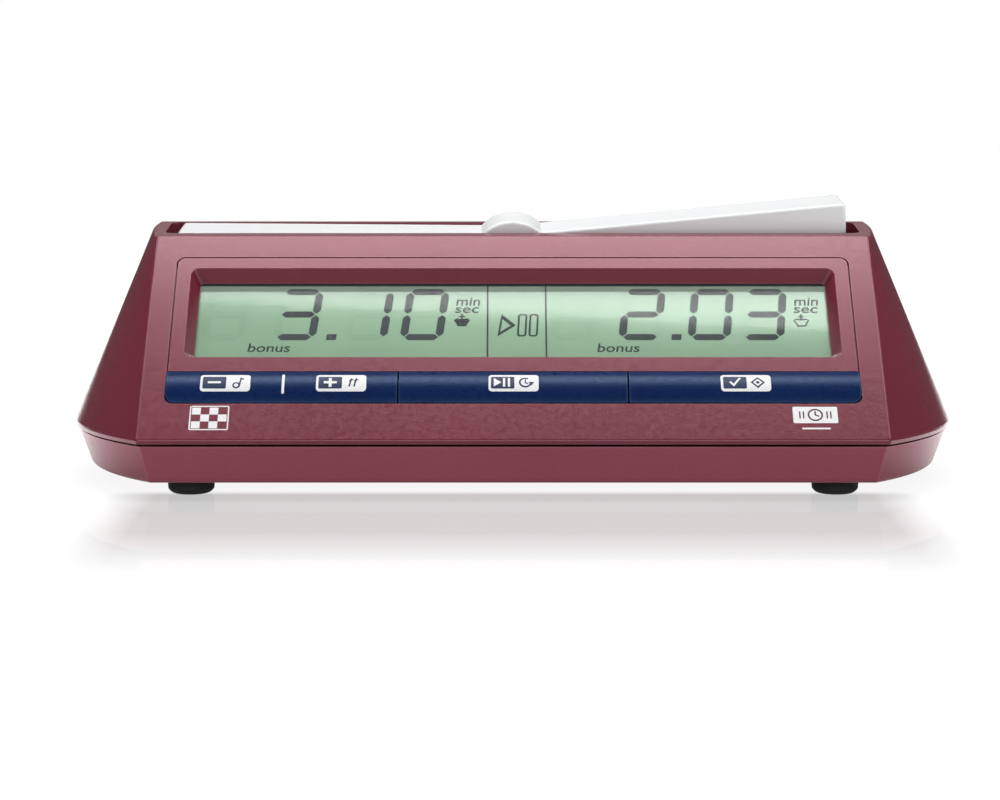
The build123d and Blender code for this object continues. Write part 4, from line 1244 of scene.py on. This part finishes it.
@dataclass
class Keypad:
    """The three keys and the printing on them."""

    plate: Point = (12.4, 5.4)
    plate_low: float = 14.3
    field_x: Point = (0.6, 6.4)
    field_s: Point = (15.1, 18.95)
    ink_step: float = 0.03
    minus_x: float = -71.2
    plus_x: float = -42.55
    start_x: float = 0.1
    confirm_x: float = 57.55
    divider_x: float = -56.9
    divider_s: Point = (13.7, 19.9)
    divider_half: float = 0.33
    level: float = 17.0
    left_mark: float = -2.7
    right_mark: float = 3.0
    white: bpy.types.Material = field(init=False)
    navy: bpy.types.Material = field(init=False)

    def build(self) -> list[bpy.types.Object]:
        """Dress the keys and the membrane, and print the marks.

        Returns:
            The added pieces.
        """
        dress(NAVY.material(), "minus_plus_key", "start_stop_key", "confirm_key")
        dress(SILICONE.material(), "keypad_membrane")
        self.white, self.navy = WHITE_INK.material(), NAVY_INK.material()
        sides = (self.divider_x - self.divider_half, self.divider_x + self.divider_half)
        bar = box(sides, self.divider_s, 0.3)
        pieces = self.printing("rocker", Body.ROCKER, (self.minus_x, self.plus_x), self.rocker_marks, bar)
        pieces += self.printing("start", Body.START, (self.start_x,), self.start_marks)
        pieces += self.printing("confirm", Body.CONFIRM, (self.confirm_x,), self.confirm_marks)
        return pieces

    def printing(
        self,
        name: str,
        body: Body,
        middles: Sequence[float],
        marks: Callable[[Layer, Layer], None],
        *bars: Loop,
    ) -> list[bpy.types.Object]:
        """Print plates with a dark field on the left, and the marks of one key.

        Args:
            name: first part of the pieces' names.
            body: the key's body.
            middles: middles of the plates.
            marks: method that fills the dark and light layers of marks.
            bars: more white outlines on the key itself.

        Returns:
            The white, dark and light pieces.
        """
        step = self.ink_step
        plates, dark, light = (Layer(KEY_CROWN, step * (i - 1), step * i) for i in (1, 2, 3))
        for x in middles:
            left = x - self.plate[0] / 2
            outer = box((left, left + self.plate[0]), (self.plate_low, self.plate_low + self.plate[1]), 0.9)
            plates.fill(outer)
            dark.fill(box((left + self.field_x[0], left + self.field_x[1]), self.field_s, 0.35))
        for bar in bars:
            plates.fill(bar)
        marks(dark, light)
        return [
            plates.piece(f"{name}_plate_print", self.white, body, Slot.KEY),
            dark.piece(f"{name}_dark_print", self.navy, body, Slot.KEY),
            light.piece(f"{name}_light_print", self.white, body, Slot.KEY),
        ]

    def rocker_marks(self, dark: Layer, light: Layer) -> None:
        """Minus, plus and a side mark beside each.

        Args:
            dark: dark layer.
            light: white layer over the dark one.
        """
        level = self.level
        minus, plus = self.minus_x + self.left_mark, self.plus_x + self.left_mark
        light.fill(box((minus - 1.6, minus + 1.6), (level - 0.32, level + 0.32)))
        light.fill(box((plus - 1.6, plus + 1.6), (level - 0.36, level + 0.36)))
        light.fill(box((plus - 0.36, plus + 0.36), (level - 1.45, level + 1.45)))
        note = self.minus_x + self.right_mark
        dark.fill(*ring((note - 0.3, 16.1), 0.95, 0.4))
        dark.each(stroke([(note + 0.45, 15.7), (note + 0.85, 18.4), (note + 1.4, 18.1)], 0.4))
        pair = self.plus_x + self.right_mark
        for x in (pair - 0.65, pair + 0.55):
            dark.each(stroke([(x - 0.3, 15.9), (x + 0.15, 18.2)], 0.42))
            dark.each(stroke([(x - 0.25, 17.6), (x + 0.5, 17.9)], 0.34))

    def start_marks(self, dark: Layer, light: Layer) -> None:
        """Play and pause in the dark field, a turning arrow beside it.

        Args:
            dark: dark layer.
            light: white layer over the dark one.
        """
        left = self.start_x - self.plate[0] / 2
        light.fill([(left + 1.3, 15.7), (left + 3.2, 17.0), (left + 1.3, 18.4)])
        for x in (left + 3.85, left + 5.05):
            light.fill(box((x - 0.28, x + 0.28), (15.6, 18.5)))
        x, s = self.start_x + 2.9, self.level
        outer = arc((x, s), 1.6, 60, 340, 22)
        inner = arc((x, s), 1.15, 340, 60, 22)
        dark.fill(outer + inner)
        dark.fill([(x + 0.75, s + 0.1), (x + 2.2, s + 0.1), (x + 1.5, s - 1.05)])
        dark.each(stroke([(x, s + 0.8), (x, s - 0.1), (x + 0.55, s - 0.4)], 0.3))

    def confirm_marks(self, dark: Layer, light: Layer) -> None:
        """A tick in the dark field, a diamond with a dot beside it.

        Args:
            dark: dark layer.
            light: white layer over the dark one.
        """
        tick = self.confirm_x + self.left_mark
        light.each(stroke([(tick - 1.1, 17.0), (tick - 0.3, 16.1), (tick + 1.2, 18.3)], 0.5))
        x, s = self.confirm_x + 2.95, self.level
        dark.fill(*([(x + r, s), (x, s + r), (x - r, s), (x, s - r)] for r in (1.8, 1.2)))
        dark.fill(arc((x, s), 0.42, 0, 330, 11))


@dataclass
class Lever:
    """The rocking lever, its magnets, pin and sensors."""

    def build(self) -> list[bpy.types.Object]:
        """Dress the lever's nodes.

        Returns:
            No added pieces.
        """
        dress(WHITE_LEVER.material(), "rocker_lever")
        dress(NICKEL.material(), "lever_magnets")
        dress(STEEL.material(), "lever_pivot_pin")
        dress(BLACK_CHIP.material(), "lever_sensors")
        dress(SENSOR_LACQUER.material(), "sensor_board")
        return []


@dataclass
class Electronics:
    """Main board, its parts and all the screws."""

    leg_count: int = 11
    leg_pitch: float = 1.0
    leg_width: float = 0.4
    leg_reach: float = 1.1

    def build(self) -> list[bpy.types.Object]:
        """Dress the board and its parts, and add the chip's legs.

        Returns:
            The added pieces.
        """
        dress(PANEL_BOARD.material(), "main_board")
        dress(BLACK_CHIP.material(), "processor_chip", "buzzer", "capacitors")
        dress(CAN.material(), "crystal")
        dress(ZINC.material(), "board_screws", "housing_screws")
        return [self.chip_legs()]

    def chip_legs(self) -> bpy.types.Object:
        """Bent legs along the chip's four sides, standing on the board.

        Returns:
            The piece.
        """
        back = Face(PANEL.origin, PANEL.up, -PANEL.out)
        x_low, x_high = back.reach("processor_chip", back.right)
        s_low, s_high = back.reach("processor_chip", back.up)
        foot = back.reach("processor_chip", back.out)[0]
        layer = Layer(back, foot + 0.02, foot + 0.22)
        knee = Layer(back, foot + 0.22, foot + 0.75)
        first = -(self.leg_count - 1) / 2
        half, reach = self.leg_width / 2, self.leg_reach
        for i in range(self.leg_count):
            at = (first + i) * self.leg_pitch
            x, s = (x_low + x_high) / 2 + at, (s_low + s_high) / 2 + at
            for edge, way in ((s_low, -1), (s_high, 1)):
                layer.fill(box((x - half, x + half), tuple(sorted((edge, edge + way * reach)))))
                knee.fill(box((x - half, x + half), tuple(sorted((edge, edge + way * reach / 3)))))
            for edge, way in ((x_low, -1), (x_high, 1)):
                layer.fill(box(tuple(sorted((edge, edge + way * reach))), (s - half, s + half)))
                knee.fill(box(tuple(sorted((edge, edge + way * reach / 3))), (s - half, s + half)))
        start = len(layer.verts)
        layer.verts += knee.verts
        layer.polys += [[start + i for i in poly] for poly in knee.polys]
        return layer.piece("chip_legs", CAN.material(), Body.CASE, Slot.CONTACT)


@dataclass
class Battery:
    """Cells, contacts, springs and the sliding door."""

    def build(self) -> list[bpy.types.Object]:
        """Dress the battery's nodes.

        Returns:
            No added pieces.
        """
        dress(CELL_SLEEVE.material(), "battery_cells")
        dress(NICKEL.material(), "battery_contacts", "battery_springs")
        dress(BURGUNDY_BASE.material(), "battery_door")
        return []


@dataclass
class PowerSwitch:
    """The push button on the underside, its switch and board."""

    def build(self) -> list[bpy.types.Object]:
        """Dress the switch's nodes.

        Returns:
            No added pieces.
        """
        dress(DARK_BUTTON.material(), "power_button")
        dress(BLACK_CHIP.material(), "power_switch")
        dress(POWER_LACQUER.material(), "power_board")
        return []


@dataclass
class Label:
    """The blank label on the underside, with ruled lines and a column rule."""

    margin: float = 3.0
    lines: int = 9
    rule: float = 0.22
    column: float = 9.0

    def build(self) -> list[bpy.types.Object]:
        """Dress the label and rule it.

        Returns:
            The added piece.
        """
        dress(LABEL_PAPER.material(), "option_label")
        low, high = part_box("option_label")
        face = Face(Vector((0.0, 0.0, low.z)), Vector((0.0, 1.0, 0.0)), Vector((0.0, 0.0, -1.0)))
        layer = Layer(face, 0.0, 0.02)
        x = (low.x / MM + self.margin, high.x / MM - self.margin)
        s = (low.y / MM + self.margin, high.y / MM - self.margin)
        for i in range(self.lines):
            level = s[0] + (s[1] - s[0]) * i / (self.lines - 1)
            layer.fill(box(x, (level - self.rule / 2, level + self.rule / 2)))
        layer.fill(box((x[0] + self.column, x[0] + self.column + self.rule), s))
        return [layer.piece("label_ruling", GREY_INK.material(), Body.CASE, Slot.LABEL)]


# ---- Studio ----------------------------------------------------------------------------------------
@dataclass
class Lamp:
    """One soft rectangular light."""

    name: str
    place: Colour
    turn: Colour
    size: Point
    radiance: float

    def build(self) -> bpy.types.Object:
        """Make the light.

        Returns:
            The light object.
        """
        data = bpy.data.lights.new(self.name, "AREA")
        data.shape = "RECTANGLE"
        data.size, data.size_y = self.size
        data.energy = self.radiance * pi * self.size[0] * self.size[1]
        lamp = bpy.data.objects.new(self.name, data)
        lamp.location = self.place
        lamp.rotation_euler = [radians(a) for a in self.turn]
        lamp.visible_camera = False
        bpy.context.scene.collection.objects.link(lamp)
        return lamp


@dataclass
class Studio:
    """Pale floor, soft lights and the camera."""

    half_width: float = 0.9
    front: float = -0.9
    back: float = 0.9
    seen_glow: Point = (0.90, 1.0)
    seen_reach: Point = (0.17, 0.36)
    cast_glow: Point = (0.34, 2.0)
    cast_reach: Point = (0.105, 0.15)
    matt: float = 0.16
    mirror: float = 0.96
    mirror_fade: Point = (-0.165, -0.105)
    mirror_end: Point = (-0.047, -0.041)
    mirror_side: Point = (0.088, 0.101)
    polish: float = 0.03
    ambient: float = 0.07
    lens: float = 101.2
    sensor: float = 36.0
    eye: tuple[float, float, float] = (-0.00326, -0.7351, 0.1031)
    look_down: float = 6.59
    lamps: tuple[Lamp, ...] = (
        Lamp("overhead_softbox", (0.0109, 0.122, 1.0), (0.0, 0.0, -2.77), (1.5, 0.45), 4.1),
        Lamp("near_strip", (0.0, -0.001, 0.30), (0.0, 0.0, 0.0), (0.27, 0.062), 4.4),
        Lamp("close_strip", (0.0, 0.012, 0.18), (0.0, 0.0, 0.0), (0.24, 0.04), 1.2),
        Lamp("low_front", (0.0, -1.3, 0.5), (68.0, 0.0, 0.0), (1.2, 0.5), 3.6),
        Lamp("back_strip", (0.0, 0.6, 0.35), (-60.0, 0.0, 0.0), (1.0, 0.25), 0.5),
    )

    def build(self) -> None:
        """Make the floor, the lights, the surroundings and the camera."""
        self.floor()
        for lamp in self.lamps:
            lamp.build()
        self.surroundings()
        self.camera()

    def floor(self) -> None:
        """A pale table top that the clock stands on."""
        mesh = bpy.data.meshes.new("studio_floor")
        outline = box((-self.half_width, self.half_width), (self.front, self.back), 0.3)
        mesh.from_pydata([(x, y, 0.0) for x, y in outline], [], [range(len(outline))])
        mesh.materials.append(self.floor_finish())
        table = bpy.data.objects.new("studio_floor", mesh)
        bpy.context.scene.collection.objects.link(table)

    def floor_finish(self) -> bpy.types.Material:
        """White floor that glows a little and mirrors only in front of the clock.

        Returns:
            The floor's material.
        """
        graph = Graph("studio_white")
        glow = graph.add("ShaderNodeEmission")
        away = graph.add("ShaderNodeVectorMath", operation="LENGTH")
        graph.link(graph.place, away.inputs[0])
        seen = graph.spread(away.outputs["Value"], self.seen_reach, self.seen_glow)
        sideways = graph.add("ShaderNodeMath", operation="ABSOLUTE")
        graph.link(graph.axis("X"), sideways.inputs[0])
        aside = sideways.outputs[0]
        direct = graph.add("ShaderNodeLightPath").outputs["Is Camera Ray"]
        strength = graph.add("ShaderNodeMix", data_type="FLOAT")
        graph.link(direct, strength.inputs[0])
        graph.link(graph.spread(aside, self.cast_reach, self.cast_glow), strength.inputs[2])
        graph.link(seen, strength.inputs[3])
        graph.link(strength.outputs[0], glow.inputs["Strength"])
        matt = graph.add("ShaderNodeBsdfDiffuse")
        matt.inputs["Color"].default_value = (self.matt, self.matt, self.matt, 1.0)
        both = graph.add("ShaderNodeAddShader")
        graph.link(glow.outputs[0], both.inputs[0])
        graph.link(matt.outputs[0], both.inputs[1])
        mirror = graph.add("ShaderNodeBsdfAnisotropic")
        mirror.inputs["Roughness"].default_value = self.polish
        mix = graph.add("ShaderNodeMixShader")
        share = graph.spread(graph.axis("Y"), self.mirror_fade, (0.0, self.mirror))
        rise = graph.product(graph.grazing(), share)
        front = graph.spread(graph.axis("Y"), self.mirror_end, (1.0, 0.0))
        middle = graph.spread(aside, self.mirror_side, (1.0, 0.0))
        graph.link(graph.product(graph.product(rise, front), middle), mix.inputs[0])
        graph.link(both.outputs[0], mix.inputs[1])
        graph.link(mirror.outputs[0], mix.inputs[2])
        graph.link(mix.outputs[0], graph.output.inputs["Surface"])
        return graph.material

    def surroundings(self) -> None:
        """Even pale light from all round, white where it is looked at."""
        world = bpy.data.worlds.new("studio_air")
        world.use_nodes = True
        tree = world.node_tree
        air = tree.nodes["Background"]
        air.inputs["Color"].default_value = (1.0, 1.0, 1.0, 1.0)
        seen = tree.nodes.new("ShaderNodeLightPath")
        level = tree.nodes.new("ShaderNodeMapRange")
        level.inputs["To Min"].default_value = self.ambient
        tree.links.new(seen.outputs["Is Camera Ray"], level.inputs["Value"])
        tree.links.new(level.outputs["Result"], air.inputs["Strength"])
        bpy.context.scene.world = world

    def camera(self) -> None:
        """The camera, level with the clock and looking slightly down."""
        data = bpy.data.cameras.new("camera")
        data.lens = self.lens
        data.sensor_width = self.sensor
        data.clip_start = 0.02
        camera = bpy.data.objects.new("camera", data)
        camera.location = self.eye
        camera.rotation_euler = (radians(90 - self.look_down), 0.0, 0.0)
        bpy.context.scene.collection.objects.link(camera)
        bpy.context.scene.camera = camera
        bpy.context.scene.view_settings.view_transform = "Standard"


def main() -> None:
    """Build every sub-assembly in order, then the studio."""
    logging.basicConfig(level=logging.INFO, format="%(message)s")
    for assembly in (
        Housing(), DisplayStack(), Keypad(), Lever(), Electronics(), Battery(), PowerSwitch(), Label()
    ):
        for piece in assembly.build():
            LOG.info("built %s with %d faces", piece.name, len(piece.data.polygons))
    Studio().build()


if __name__ == "__main__":
    main()
